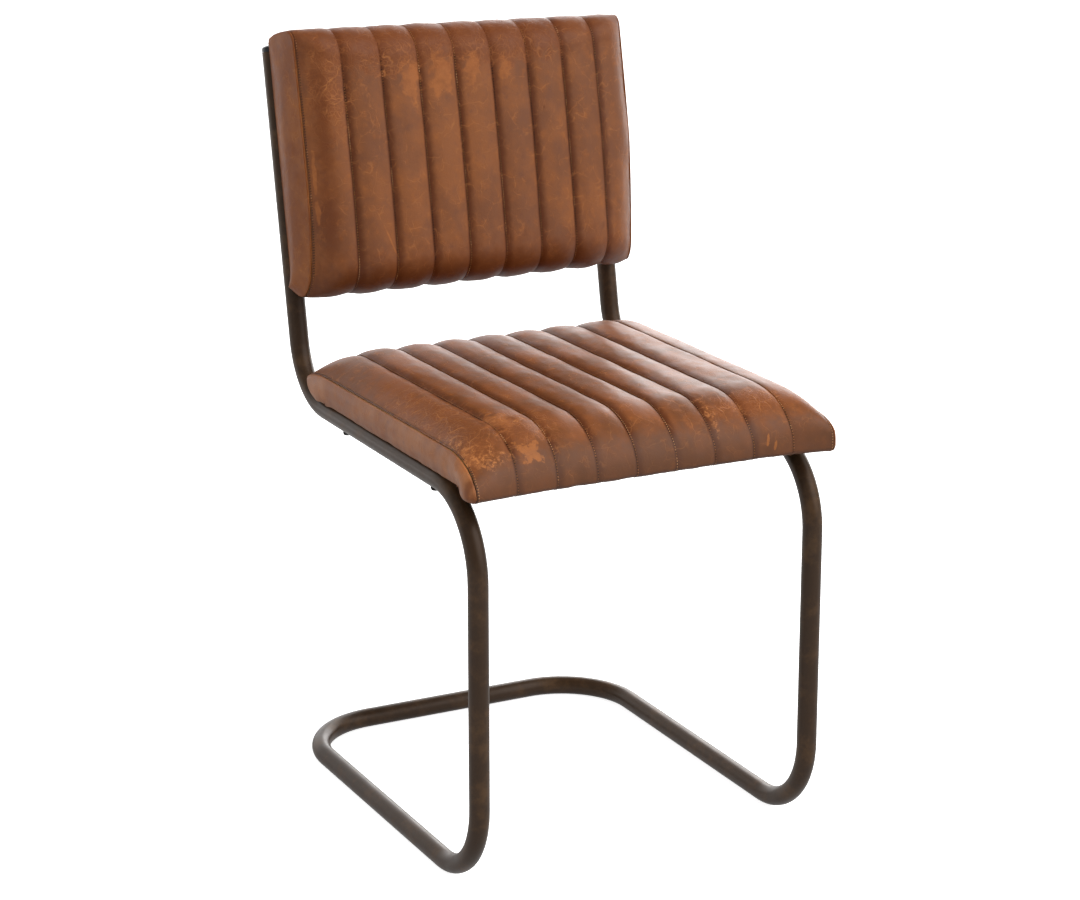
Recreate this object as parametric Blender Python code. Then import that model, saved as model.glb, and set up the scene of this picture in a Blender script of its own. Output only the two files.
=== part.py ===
"""Dining chair: one bent steel tube as a cantilever frame, with a channelled leather seat and back.

Lengths are in metres. X runs across the chair, with the sitter's left at +X, Y runs from front to
back and Z is up. The origin lies on the floor under the middle of the chair's box.
"""

from math import cos, pi, radians, sin, tan

import bmesh
import bpy
from mathutils import Matrix, Vector

# Frame: one round tube, bent from the top of one upright to the top of the other
TUBE_DIAMETER = 0.022
TUBE_WALL = 0.0015
FRAME_WIDTH = 0.4012
RAIL_HEIGHT = 0.4383
RAIL_LENGTH = 0.4528
FLOOR_RAIL_LENGTH = 0.4996
UPRIGHT_LENGTH = 0.3913
BACK_RAKE = radians(10.8)
BACK_BEND_RADIUS = 0.0774
KNEE_BEND_RADIUS = 0.0902
FLOOR_BEND_RADIUS = 0.0915
TUBE_SIDES = 16
BORE_SIDES = 8
BEND_STEP = radians(10)

# Plugs in the open tops of the uprights
PLUG_DOME_HEIGHT = 0.0045
PLUG_RIM_HEIGHT = 0.0030
PLUG_STEM_LENGTH = 0.014

# Fit between pieces that touch
GAP = 0.0003
LEATHER = 0.0013
SOFT_GAP = 0.0010

# Seat cushion, measured from the corner of rail and front leg, and from the tube's axis sideways
SEAT_CHANNELS = 9
SEAT_PAST_FRAME = 0.0064
SEAT_NOSE_PAST_LEG = 0.0125
SEAT_REAR_PAST_BEND = 0.032
SEAT_VALLEY_THICKNESS = 0.0525
SEAT_SHOULDER_DROP = 0.019
SEAT_SHOULDER_POWER = 8
SEAT_CHANNEL_HEIGHT = 0.0055
SEAT_NOSE_DEPTH = 0.060
SEAT_NOSE_HEIGHT = 0.0075
SEAT_NOSE_DIP = 0.0052
SEAT_NOSE_RADIUS = 0.012
SEAT_CORNER_REACH = 0.0065
SEAT_CORNER_POWER = 4
SEAT_REAR_DEPTH = 0.058
SEAT_REAR_NOSE_HEIGHT = 0.0185
SEAT_REAR_TUCK = 0.030
SEAT_HEM = 0.020
BAND_HEM = 0.024

# Back cushion, measured up from the top of the uprights
BACK_CHANNELS = 9
BACK_PAST_FRAME = 0.0024
BACK_PAST_UPRIGHT = 0.0122
BACK_HEIGHT = 0.291
BACK_VALLEY_THICKNESS = 0.089
BACK_SHOULDER_DROP = 0.024
BACK_SHOULDER_POWER = 6
BACK_CHANNEL_HEIGHT = 0.0050
BACK_EDGE_DEPTH = 0.040
BACK_EDGE_HEIGHT = 0.038
BACK_EDGE_TIGHTENING = 0.33
BACK_BOW = 0.002
BACK_TUCK = 0.020
BACK_TUCK_HEIGHT = 0.150
BACK_REAR_STEP = 0.004

# Share of a channel's height that is left on the seat's front face, where it is pulled tight
NOSE_LIFT = 0.25

# Plywood boards inside the cushions
BOARD_THICKNESS = 0.012
SEAT_BOARD_OVERLAP = 0.0025
BACK_BOARD_OVERLAP = 0.0035
BOARD_CORNER_RADIUS = 0.012
SEAT_BOARD_SETBACK = 0.017
SEAT_BOARD_REAR_SETBACK = 0.0055
BACK_BOARD_SETBACK = 0.006
LINING_THICKNESS = 0.0008

# Seat bolts, and the threaded inserts in the seat board that they screw into
BOLT_DIAMETER = 0.006
BOLT_HEAD_DIAMETER = 0.0105
BOLT_HEAD_HEIGHT = 0.0033
BOLT_SOCKET_WIDTH = 0.004
BOLT_SOCKET_DEPTH = 0.002
BOLT_END_IN_BOARD = 0.0015
BOLT_DOME = ((0.62, 1.0), (0.86, 0.8), (1.0, 0.35))
BOLT_SIDES = 12
INSERT_DIAMETER = 0.0100
INSERT_FLANGE_DIAMETER = 0.0130
INSERT_FLANGE = 0.0010
SEAT_BOLT_PAST_KNEE = 0.0103
SEAT_BOLT_BEFORE_BEND = 0.0588

# Pan-head wood screws that hold the back board
SCREW_DIAMETER = 0.0042
SCREW_HEAD_DIAMETER = 0.0080
SCREW_HEAD_HEIGHT = 0.0026
SCREW_POINT = 0.0040
SCREW_END_IN_BOARD = 0.0020
BACK_SCREW_ABOVE_HEM = 0.0525
BACK_SCREW_BELOW_TOP = 0.0463

# Facets across each channel, and where along a channel's level run its points lie
CHANNEL_FACETS = 4
FOAM_FACETS = 2
FLAT_SHARES = (0.35, 0.68)

# Places worked out from the sizes above
TUBE_RADIUS = TUBE_DIAMETER / 2
TUBE_FLAT = TUBE_RADIUS * cos(pi / TUBE_SIDES)
BORE_RADIUS = TUBE_RADIUS - TUBE_WALL
HALF_FRAME = FRAME_WIDTH / 2
SEAT_HALF_WIDTH = HALF_FRAME + SEAT_PAST_FRAME
BACK_HALF_WIDTH = HALF_FRAME + BACK_PAST_FRAME
UPRIGHT_TURN = pi / 2 - BACK_RAKE
RAIL_STRAIGHT_END = RAIL_LENGTH - BACK_BEND_RADIUS * tan(UPRIGHT_TURN / 2)
SEAT_BOTTOM = RAIL_HEIGHT + TUBE_FLAT + GAP
SEAT_NOSE_Y = -SEAT_NOSE_PAST_LEG
SEAT_REAR_Y = RAIL_STRAIGHT_END + SEAT_REAR_PAST_BEND
SEAT_BOARD_BOTTOM = SEAT_BOTTOM + LEATHER + GAP
SEAT_BOARD_TOP = SEAT_BOARD_BOTTOM + BOARD_THICKNESS
SEAT_BOARD_FRONT = SEAT_NOSE_Y + SEAT_BOARD_SETBACK
SEAT_BOARD_REAR = RAIL_STRAIGHT_END - SEAT_BOARD_REAR_SETBACK
SEAT_HEM_FRONT = SEAT_BOARD_FRONT + SEAT_HEM
SEAT_HEM_REAR = RAIL_STRAIGHT_END - SEAT_HEM
BACK_REAR = TUBE_FLAT + GAP
BACK_BOARD_REAR = BACK_REAR + LEATHER + GAP
BACK_BOARD_FRONT = BACK_BOARD_REAR + BOARD_THICKNESS
BACK_FRONT = BACK_REAR + BACK_VALLEY_THICKNESS
BACK_TOP = UPRIGHT_LENGTH + BACK_PAST_UPRIGHT
BACK_BOTTOM = BACK_TOP - BACK_HEIGHT
SEAT_BOLT_FRONT = KNEE_BEND_RADIUS + SEAT_BOLT_PAST_KNEE
SEAT_BOLT_REAR = RAIL_STRAIGHT_END - SEAT_BOLT_BEFORE_BEND
BACK_SCREW_LOW = BACK_BOTTOM + BACK_SCREW_ABOVE_HEM
BACK_SCREW_HIGH = UPRIGHT_LENGTH - BACK_SCREW_BELOW_TOP
CHAIR_FRONT = SEAT_NOSE_Y - SEAT_CORNER_REACH
PLUG_RIM_UP = UPRIGHT_LENGTH + PLUG_RIM_HEIGHT
CHAIR_REAR = RAIL_LENGTH + PLUG_RIM_UP * sin(BACK_RAKE) + TUBE_RADIUS * cos(BACK_RAKE)


def clear_scene():
    for thing in list(bpy.data.objects):
        bpy.data.objects.remove(thing, do_unlink=True)


def material(name, colour, roughness, metallic=0.0):
    made = bpy.data.materials.new(name)
    made.use_nodes = True
    shader = made.node_tree.nodes["Principled BSDF"]
    shader.inputs["Base Color"].default_value = (*colour, 1.0)
    shader.inputs["Roughness"].default_value = roughness
    shader.inputs["Metallic"].default_value = metallic
    made.diffuse_color = (*colour, 1.0)
    return made


def empty(name, location, tilt=0.0, parent=None):
    made = bpy.data.objects.new(name, None)
    made.location = location
    made.rotation_euler = (tilt, 0.0, 0.0)
    made.parent = parent
    bpy.context.scene.collection.objects.link(made)
    return made


def make_object(name, mesh, finish, parent):
    made = bpy.data.objects.new(name, mesh)
    made.parent = parent
    if finish is not None and not mesh.materials:
        mesh.materials.append(finish)
    bpy.context.scene.collection.objects.link(made)
    return made


def mesh_from(bm, name, smooth=True):
    bmesh.ops.recalc_face_normals(bm, faces=bm.faces)
    mesh = bpy.data.meshes.new(name)
    bm.to_mesh(mesh)
    bm.free()
    if smooth:
        mesh.shade_smooth()
        mesh.set_sharp_from_angle(angle=radians(40))
    return mesh


def cut(target, cutter):
    """Cuts the cutter's shape out of the target and hides the cutter."""
    cutter.hide_render = True
    cutter.display_type = "WIRE"
    cutting = target.modifiers.new("cut " + cutter.name, "BOOLEAN")
    cutting.operation = "DIFFERENCE"
    cutting.object = cutter


def turned(name, profile, sides):
    """A closed turned mesh on Z from (radius, height) points that start and end on the axis."""
    bm = bmesh.new()
    points = [bm.verts.new((radius, 0.0, height)) for radius, height in profile]
    edges = [bm.edges.new(pair) for pair in zip(points, points[1:])]
    bmesh.ops.spin(bm, geom=points + edges, cent=(0, 0, 0), axis=(0, 0, 1), angle=2 * pi,
                   steps=sides, use_merge=True)
    bmesh.ops.remove_doubles(bm, verts=bm.verts, dist=1e-6)
    return mesh_from(bm, name)


def loft(name, loops):
    """A closed mesh through a row of closed loops with as many points each, with flat ends."""
    bm = bmesh.new()
    rows = [[bm.verts.new(point) for point in loop] for loop in loops]
    for near, far in zip(rows, rows[1:]):
        for i in range(len(near)):
            bm.faces.new((near[i - 1], near[i], far[i], far[i - 1]))
    bm.faces.new(rows[0])
    bm.faces.new(rows[-1])
    return mesh_from(bm, name, smooth=False)


def sheet(name, columns, rows, place, finish, parent, outward, even=True):
    """A skin of leather: a grid laid on the place function, thickened inwards."""
    bm = bmesh.new()
    bmesh.ops.create_grid(bm, x_segments=columns, y_segments=rows, size=1.0)
    for vert in bm.verts:
        column = round((vert.co.x + 1) / 2 * columns)
        row = round((vert.co.y + 1) / 2 * rows)
        vert.co = place(column, row)
    bm.normal_update()
    middle = sum((face.normal for face in bm.faces), Vector())
    if middle.dot(outward) < 0:
        bmesh.ops.reverse_faces(bm, faces=bm.faces)
    mesh = bpy.data.meshes.new(name)
    bm.to_mesh(mesh)
    bm.free()
    mesh.shade_smooth()
    mesh.set_sharp_from_angle(angle=radians(40))
    made = make_object(name, mesh, finish, parent)
    wall = made.modifiers.new("leather thickness", "SOLIDIFY")
    wall.thickness = LEATHER
    wall.offset = -1.0
    wall.use_even_offset = even
    return made


def holes(name, radius, depth, places, parent):
    """One cutter of upright cylinders, centred on the places."""
    bm = bmesh.new()
    for place in places:
        bmesh.ops.create_cone(bm, cap_ends=True, segments=BOLT_SIDES, radius1=radius,
                              radius2=radius, depth=depth, matrix=Matrix.Translation(place))
    return make_object(name, mesh_from(bm, name, smooth=False), None, parent)


def swing(bm, edges, centre, axis, angle):
    """Bends the tube on: turns its open end about the bend's centre."""
    steps = max(3, round(abs(angle) / BEND_STEP))
    verts = list({vert for edge in edges for vert in edge.verts})
    bent = bmesh.ops.spin(bm, geom=verts + edges, cent=centre, axis=axis, angle=angle,
                          steps=steps)
    return [edge for edge in bent["geom_last"] if isinstance(edge, bmesh.types.BMEdge)]


def run(bm, edges, vector):
    """Runs the tube straight on from its open end."""
    grown = bmesh.ops.extrude_edge_only(bm, edges=edges)["geom"]
    bmesh.ops.translate(bm, verts=[v for v in grown if isinstance(v, bmesh.types.BMVert)],
                        vec=vector)
    return [edge for edge in grown if isinstance(edge, bmesh.types.BMEdge)
            and all(vert in grown for vert in edge.verts)]


def bent_rod(name, radius, sides, overrun):
    """A rod bent along the tube's line, from the right upright's top to the left one's."""
    bm = bmesh.new()
    up = Vector((0, sin(BACK_RAKE), cos(BACK_RAKE)))
    corner = Vector((-HALF_FRAME, RAIL_LENGTH, RAIL_HEIGHT))
    length = UPRIGHT_LENGTH + overrun
    top = corner + up * length
    back_tangent = BACK_BEND_RADIUS * tan(UPRIGHT_TURN / 2)
    facing = Matrix.Rotation(-BACK_RAKE, 4, "X") @ Matrix.Rotation(pi / sides, 4, "Z")
    ring = bmesh.ops.create_circle(bm, segments=sides, radius=radius,
                                   matrix=Matrix.Translation(top) @ facing)["verts"]
    start = list({edge for vert in ring for edge in vert.link_edges})
    across = Vector((1, 0, 0))
    upward = Vector((0, 0, 1))
    floor_z = TUBE_FLAT

    end = run(bm, start, -up * (length - back_tangent))
    end = swing(bm, end, (0, RAIL_STRAIGHT_END, RAIL_HEIGHT + BACK_BEND_RADIUS), across,
                -UPRIGHT_TURN)
    end = run(bm, end, (0, KNEE_BEND_RADIUS - RAIL_STRAIGHT_END, 0))
    end = swing(bm, end, (0, KNEE_BEND_RADIUS, RAIL_HEIGHT - KNEE_BEND_RADIUS), across, pi / 2)
    end = run(bm, end, (0, 0, floor_z + FLOOR_BEND_RADIUS + KNEE_BEND_RADIUS - RAIL_HEIGHT))
    end = swing(bm, end, (0, FLOOR_BEND_RADIUS, floor_z + FLOOR_BEND_RADIUS), across, pi / 2)
    end = run(bm, end, (0, FLOOR_RAIL_LENGTH - 2 * FLOOR_BEND_RADIUS, 0))
    corner_y = FLOOR_RAIL_LENGTH - FLOOR_BEND_RADIUS
    end = swing(bm, end, (FLOOR_BEND_RADIUS - HALF_FRAME, corner_y, 0), upward, -pi / 2)
    end = run(bm, end, (FRAME_WIDTH - 2 * FLOOR_BEND_RADIUS, 0, 0))
    end = swing(bm, end, (HALF_FRAME - FLOOR_BEND_RADIUS, corner_y, 0), upward, -pi / 2)
    end = run(bm, end, (0, 2 * FLOOR_BEND_RADIUS - FLOOR_RAIL_LENGTH, 0))
    end = swing(bm, end, (0, FLOOR_BEND_RADIUS, floor_z + FLOOR_BEND_RADIUS), across, -pi / 2)
    end = run(bm, end, (0, 0, RAIL_HEIGHT - floor_z - FLOOR_BEND_RADIUS - KNEE_BEND_RADIUS))
    end = swing(bm, end, (0, KNEE_BEND_RADIUS, RAIL_HEIGHT - KNEE_BEND_RADIUS), across, -pi / 2)
    end = run(bm, end, (0, RAIL_STRAIGHT_END - KNEE_BEND_RADIUS, 0))
    end = swing(bm, end, (0, RAIL_STRAIGHT_END, RAIL_HEIGHT + BACK_BEND_RADIUS), across,
                UPRIGHT_TURN)
    end = run(bm, end, up * (length - back_tangent))
    bmesh.ops.edgeloop_fill(bm, edges=start)
    bmesh.ops.edgeloop_fill(bm, edges=end)
    return mesh_from(bm, name)


def frame_tube(finish, chair, back_face):
    tube = make_object("frame_tube", bent_rod("frame_tube", TUBE_RADIUS, TUBE_SIDES, 0.0), finish,
                       chair)
    bore = bent_rod("tube_bore", BORE_RADIUS, BORE_SIDES, TUBE_WALL)
    cut(tube, make_object("tube_bore", bore, None, chair))
    radius = BOLT_DIAMETER / 2 + GAP
    through = TUBE_DIAMETER + 4 * TUBE_WALL
    places = [(x, y, RAIL_HEIGHT) for x, y in seat_bolt_places()]
    cut(tube, holes("seat_bolt_holes", radius, through, places, chair))
    places = [(x, up, 0) for x, up in back_screw_places()]
    cut(tube, holes("back_screw_holes", SCREW_DIAMETER / 2 + GAP, through, places, back_face))


def seat_bolt_places():
    return [(side * HALF_FRAME, y) for y in (SEAT_BOLT_FRONT, SEAT_BOLT_REAR) for side in (-1, 1)]


def back_screw_places():
    return [(side * HALF_FRAME, up) for up in (BACK_SCREW_LOW, BACK_SCREW_HIGH)
            for side in (-1, 1)]


def end_plugs(finish, back):
    """Domed plastic plugs with a stem in the bore."""
    stem = BORE_RADIUS * cos(pi / BORE_SIDES) - GAP
    dome = [(TUBE_RADIUS * cos(a), PLUG_RIM_HEIGHT + PLUG_DOME_HEIGHT * sin(a))
            for a in (0.0, pi / 8, pi / 4, 3 * pi / 8)]
    profile = [(0, -PLUG_STEM_LENGTH), (stem - TUBE_WALL / 2, -PLUG_STEM_LENGTH),
               (stem, -PLUG_STEM_LENGTH + TUBE_WALL), (stem, GAP), (TUBE_RADIUS, GAP), *dome,
               (0, PLUG_RIM_HEIGHT + PLUG_DOME_HEIGHT)]
    mesh = turned("end_plug", profile, TUBE_SIDES)
    for side, x in (("right", -HALF_FRAME), ("left", HALF_FRAME)):
        plug = make_object("end_plug_" + side, mesh, finish, back)
        plug.location = (x, 0, UPRIGHT_LENGTH)


def channel_lift(x, half_width, channels, height):
    """How far the leather stands proud of its seams: a shallow arch over each channel."""
    share = (x + half_width) / (2 * half_width) * channels % 1.0
    return height * 4 * share * (1 - share)


def arc(centre_a, centre_b, radius_a, radius_b, angles):
    return [(centre_a + radius_a * cos(radians(t)), centre_b + radius_b * sin(radians(t)))
            for t in angles]


def seat_section(x, inset=0.0):
    """Points (y, z) of the seat's skin at x, from the front hem over the top to the rear hem."""
    lift = channel_lift(x, SEAT_HALF_WIDTH, SEAT_CHANNELS, SEAT_CHANNEL_HEIGHT)
    grow = lift - inset
    nose_grow = NOSE_LIFT * lift - inset
    side = min(abs(x) / SEAT_HALF_WIDTH, 1.0)
    top = SEAT_BOTTOM + SEAT_VALLEY_THICKNESS - SEAT_SHOULDER_DROP * side ** SEAT_SHOULDER_POWER
    nose_y = SEAT_NOSE_Y - SEAT_CORNER_REACH * side ** SEAT_CORNER_POWER
    nose_z = SEAT_BOTTOM + SEAT_NOSE_HEIGHT
    dip = SEAT_NOSE_HEIGHT + SEAT_NOSE_DIP + nose_grow
    front_y = nose_y + SEAT_NOSE_DEPTH
    rear_y = SEAT_REAR_Y - SEAT_REAR_DEPTH
    rear_z = SEAT_BOTTOM + SEAT_REAR_NOSE_HEIGHT
    points = [(SEAT_HEM_FRONT, SEAT_BOTTOM + inset),
              (SEAT_BOARD_FRONT + SEAT_NOSE_RADIUS / 2, SEAT_BOTTOM + inset)]
    points += arc(nose_y + SEAT_NOSE_RADIUS, nose_z, SEAT_NOSE_RADIUS + nose_grow, dip,
                  (-90, -145))
    points += arc(front_y, nose_z, SEAT_NOSE_DEPTH + nose_grow, top - nose_z + grow,
                  (180, 145, 115, 90))
    points += [(front_y + (rear_y - front_y) * share, top + grow) for share in FLAT_SHARES]
    points += arc(rear_y, rear_z, SEAT_REAR_DEPTH + grow, top - rear_z + grow, (90, 55, 20))
    points += arc(SEAT_REAR_Y - SEAT_REAR_TUCK, rear_z, SEAT_REAR_TUCK + grow,
                  SEAT_REAR_NOSE_HEIGHT - inset, (-35, -90))
    points += [(SEAT_HEM_REAR, SEAT_BOTTOM + inset)]
    return points


def ease(value, low, high):
    return min(max((value - low) / (high - low), 0.0), 1.0)


def seat_edge(z):
    """Half the seat's width at height z: the board's below, and drawn in to the seam above."""
    seam_z = SEAT_BOTTOM + SEAT_VALLEY_THICKNESS - SEAT_SHOULDER_DROP
    return SEAT_HALF_WIDTH + SEAT_BOARD_OVERLAP * (1 - ease(z, SEAT_BOARD_TOP, seam_z))


def back_edge(forward):
    """Half the back's width at a depth: the board's behind, and drawn in to the seam before."""
    seam = BACK_FRONT - BACK_SHOULDER_DROP
    return BACK_HALF_WIDTH + BACK_BOARD_OVERLAP * (1 - ease(forward, BACK_BOARD_FRONT, seam))


def back_tuck(forward, up, side):
    """How far the leather is drawn back at the lower part of a side seam."""
    share = 1 - ease(up, BACK_BOTTOM, BACK_BOTTOM + BACK_TUCK_HEIGHT)
    seam = BACK_FRONT - BACK_SHOULDER_DROP
    return BACK_TUCK * side * share ** 2 * ease(forward, BACK_BOARD_FRONT, seam)


def back_section(x, inset=0.0):
    """Points (forward, up) of the back's skin at x, from its top rear edge to its bottom one."""
    grow = channel_lift(x, BACK_HALF_WIDTH, BACK_CHANNELS, BACK_CHANNEL_HEIGHT) - inset
    side = min(abs(x) / BACK_HALF_WIDTH, 1.0) ** BACK_SHOULDER_POWER
    front = BACK_FRONT - BACK_SHOULDER_DROP * side
    depth = BACK_EDGE_DEPTH * (1 - BACK_EDGE_TIGHTENING * side)
    height = BACK_EDGE_HEIGHT * (1 - BACK_EDGE_TIGHTENING * side)
    low, high = BACK_BOTTOM + height, BACK_TOP - height
    points = [(BACK_BOARD_REAR, BACK_TOP - BACK_REAR_STEP - inset)]
    points += arc(front - depth, high, depth + grow, height + grow, (90, 65, 40, 18, 0))
    points += [(front + BACK_BOW + grow, high + (low - high) * share) for share in FLAT_SHARES]
    points += arc(front - depth, low, depth + grow, height + grow, (0, -18, -40, -65, -90))
    points += [(BACK_BOARD_REAR, BACK_BOTTOM + BACK_REAR_STEP + inset)]
    return [(forward - back_tuck(forward + inset, up, side), up) for forward, up in points]


def stations(half_width, channels, facets):
    count = channels * facets
    return [half_width * (2 * i / count - 1) for i in range(count + 1)]


def seat_top_cover(finish, chair):
    """The channelled leather, from its hem under the board's front to its hem under the rear."""
    xs = stations(SEAT_HALF_WIDTH, SEAT_CHANNELS, CHANNEL_FACETS)
    sections = [seat_section(x) for x in xs]

    def place(column, row):
        y, z = sections[column][row]
        return xs[column] / SEAT_HALF_WIDTH * seat_edge(z), y, z

    return sheet("seat_top_cover", len(xs) - 1, len(sections[0]) - 1, place, finish, chair,
                 Vector((0, 0, 1)))


def seat_side_band(name, side, finish, chair):
    """The D-shaped leather side, sewn to the cover and turned in under the board."""
    outline = seat_section(SEAT_HALF_WIDTH)[2:-1]
    last = len(outline) - 1
    foot_x = seat_edge(SEAT_BOTTOM) + GAP + LEATHER
    front, rear = SEAT_HEM_FRONT + GAP * 4, SEAT_HEM_REAR - GAP * 4

    def place(column, row):
        # The foot's points lie closer together in front, where the band turns down.
        foot_y = front + (rear - front) * (column / last) ** 2
        if row == 0:
            return side * (foot_x - BAND_HEM), foot_y, SEAT_BOTTOM
        if row == 1:
            return side * foot_x, foot_y, SEAT_BOTTOM
        y, z = outline[column]
        share = (row - 1) / 3
        height = SEAT_BOTTOM + (z - SEAT_BOTTOM) * share
        return side * (seat_edge(height) + GAP + LEATHER), foot_y + (y - foot_y) * share, height

    band = sheet(name, last, 4, place, finish, chair, Vector((side, 0, -1)), even=False)
    radius = BOLT_DIAMETER / 2 + SOFT_GAP
    places = [(x, y, SEAT_BOTTOM) for x, y in seat_bolt_places() if x * side > 0]
    cut(band, holes(name + "_holes", radius, LEATHER * 4, places, chair))
    return band


def seat_foam(finish, chair):
    """The foam block, moulded over the board's front and rear edges."""
    inset = LEATHER + SOFT_GAP
    loops = []
    for x in stations(SEAT_HALF_WIDTH, SEAT_CHANNELS, FOAM_FACETS):
        share = x / SEAT_HALF_WIDTH
        skin = seat_section(x, inset)[3:-2]
        under = [(SEAT_BOARD_REAR + GAP, SEAT_BOTTOM + SEAT_NOSE_HEIGHT),
                 (SEAT_BOARD_REAR + GAP, SEAT_BOARD_TOP + GAP),
                 (SEAT_BOARD_FRONT - GAP, SEAT_BOARD_TOP + GAP),
                 (SEAT_BOARD_FRONT - GAP, SEAT_BOTTOM + SEAT_NOSE_HEIGHT / 2)]
        loops.append([(share * (seat_edge(z) - SOFT_GAP), y, z) for y, z in skin + under])
    return make_object("seat_foam", loft("seat_foam", loops), finish, chair)


def board(name, half_width, near, far, thickness, finish, parent):
    """A plywood panel with rounded corners, lying in XY with its lower face at zero."""
    bm = bmesh.new()
    corners = [(-half_width, near), (half_width, near), (half_width, far), (-half_width, far)]
    face = bm.faces.new([bm.verts.new((x, y, 0)) for x, y in corners])
    grown = bmesh.ops.extrude_face_region(bm, geom=[face])["geom"]
    bmesh.ops.translate(bm, verts=[v for v in grown if isinstance(v, bmesh.types.BMVert)],
                        vec=(0, 0, thickness))
    upright = [e for e in bm.edges if abs(e.verts[0].co.z - e.verts[1].co.z) > thickness / 2]
    bmesh.ops.bevel(bm, geom=upright, offset=BOARD_CORNER_RADIUS, segments=4, profile=0.5,
                    affect="EDGES", material=-1)
    return make_object(name, mesh_from(bm, name), finish, parent)


def insert_mesh():
    """A threaded insert: a sleeve with a thin flange, its flange side up."""
    bore = BOLT_DIAMETER / 2 + GAP
    sleeve, flange = INSERT_DIAMETER / 2, INSERT_FLANGE_DIAMETER / 2
    bm = bmesh.new()
    profile = [(bore, 0), (sleeve, 0), (sleeve, BOARD_THICKNESS - INSERT_FLANGE),
               (flange, BOARD_THICKNESS - INSERT_FLANGE), (flange, BOARD_THICKNESS),
               (bore, BOARD_THICKNESS)]
    points = [bm.verts.new((radius, 0, height)) for radius, height in profile]
    edges = [bm.edges.new((points[i - 1], points[i])) for i in range(len(points))]
    bmesh.ops.spin(bm, geom=points + edges, cent=(0, 0, 0), axis=(0, 0, 1), angle=2 * pi,
                   steps=BOLT_SIDES, use_merge=True)
    bmesh.ops.remove_doubles(bm, verts=bm.verts, dist=1e-6)
    return mesh_from(bm, "insert")


def bolt_mesh(length):
    """A button-head bolt, head down, its shank running up from zero, with a hexagon socket."""
    head, shank, tip = BOLT_HEAD_DIAMETER / 2, BOLT_DIAMETER / 2, BOLT_END_IN_BOARD

    def ring(radius, height):
        turns = [2 * pi * i / BOLT_SIDES for i in range(BOLT_SIDES)]
        return [(radius * cos(turn), radius * sin(turn), height) for turn in turns]

    def hexagon(height):
        corner = BOLT_SOCKET_WIDTH / 2 / cos(pi / 6)
        flats = ring(1.0, height)
        reach = [corner if i % 2 == 0 else BOLT_SOCKET_WIDTH / 2 for i in range(BOLT_SIDES)]
        return [(x * r, y * r, z) for (x, y, z), r in zip(flats, reach)]

    loops = [hexagon(BOLT_SOCKET_DEPTH - BOLT_HEAD_HEIGHT), hexagon(-BOLT_HEAD_HEIGHT)]
    loops += [ring(head * width, -BOLT_HEAD_HEIGHT * drop) for width, drop in BOLT_DOME]
    loops += [ring(head, 0), ring(shank, 0), ring(shank, length - tip),
              ring(shank - tip / 2, length)]
    return loft("bolt", loops)


def corner_names():
    return ["right_front", "left_front", "right_rear", "left_rear"]


def seat(leather, foam, plywood, lining, steel, chair):
    seat_top_cover(leather, chair)
    seat_side_band("seat_side_band_right", -1, leather, chair)
    seat_side_band("seat_side_band_left", 1, leather, chair)
    seat_foam(foam, chair)
    half_board = seat_edge(SEAT_BOARD_TOP) - SOFT_GAP / 2
    panel = board("seat_board", half_board, SEAT_BOARD_FRONT, SEAT_BOARD_REAR, BOARD_THICKNESS,
                  plywood, chair)
    panel.location.z = SEAT_BOARD_BOTTOM
    middle = BOARD_THICKNESS / 2
    spots = seat_bolt_places()
    cut(panel, holes("seat_insert_holes", INSERT_DIAMETER / 2 + GAP, BOARD_THICKNESS * 2,
                     [(x, y, SEAT_BOARD_BOTTOM + middle) for x, y in spots], chair))
    cut(panel, holes("seat_flange_seats", INSERT_FLANGE_DIAMETER / 2 + GAP,
                     2 * (INSERT_FLANGE + GAP), [(x, y, SEAT_BOARD_TOP) for x, y in spots], chair))
    half_lining = half_board + LEATHER - BAND_HEM - GAP * 4
    cloth = board("seat_lining", half_lining, SEAT_HEM_FRONT + GAP * 4, SEAT_HEM_REAR - GAP * 4,
                  LINING_THICKNESS, lining, chair)
    cloth.location.z = SEAT_BOARD_BOTTOM - GAP - LINING_THICKNESS
    head_z = RAIL_HEIGHT - TUBE_FLAT - GAP
    bolt = bolt_mesh(SEAT_BOARD_TOP - BOLT_END_IN_BOARD - head_z)
    insert = insert_mesh()
    for name, (x, y) in zip(corner_names(), spots):
        fastener = make_object("seat_bolt_" + name, bolt, steel, chair)
        fastener.location = (x, y, head_z)
        nut = make_object("seat_insert_" + name, insert, steel, chair)
        nut.location = (x, y, SEAT_BOARD_BOTTOM)


def back_front_cover(finish, back):
    """The channelled leather of the back, from its top rear edge to its bottom rear edge."""
    xs = stations(BACK_HALF_WIDTH, BACK_CHANNELS, CHANNEL_FACETS)
    sections = [back_section(x) for x in xs]

    def place(column, row):
        forward, up = sections[column][row]
        return xs[column] / BACK_HALF_WIDTH * back_edge(forward), -forward, up

    return sheet("back_front_cover", len(xs) - 1, len(sections[0]) - 1, place, finish, back,
                 Vector((0, -1, 0)))


def back_side_band(name, side, finish, back):
    """The leather side of the back, drawn in towards its seam in front of the board's edge."""
    outline = back_section(BACK_HALF_WIDTH)
    last = len(outline) - 1
    low, high = outline[-1][1] + BACK_REAR_STEP, outline[0][1] - BACK_REAR_STEP

    def place(column, row):
        foot_z = high + (low - high) * column / last
        forward, up = outline[column]
        share = (0.0, 0.25, 0.6, 1.0)[row]
        depth = BACK_BOARD_REAR + (forward - BACK_BOARD_REAR) * share
        return side * (back_edge(depth) + GAP + LEATHER), -depth, foot_z + (up - foot_z) * share

    return sheet(name, last, 3, place, finish, back, Vector((side, 0, 0)), even=False)


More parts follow.
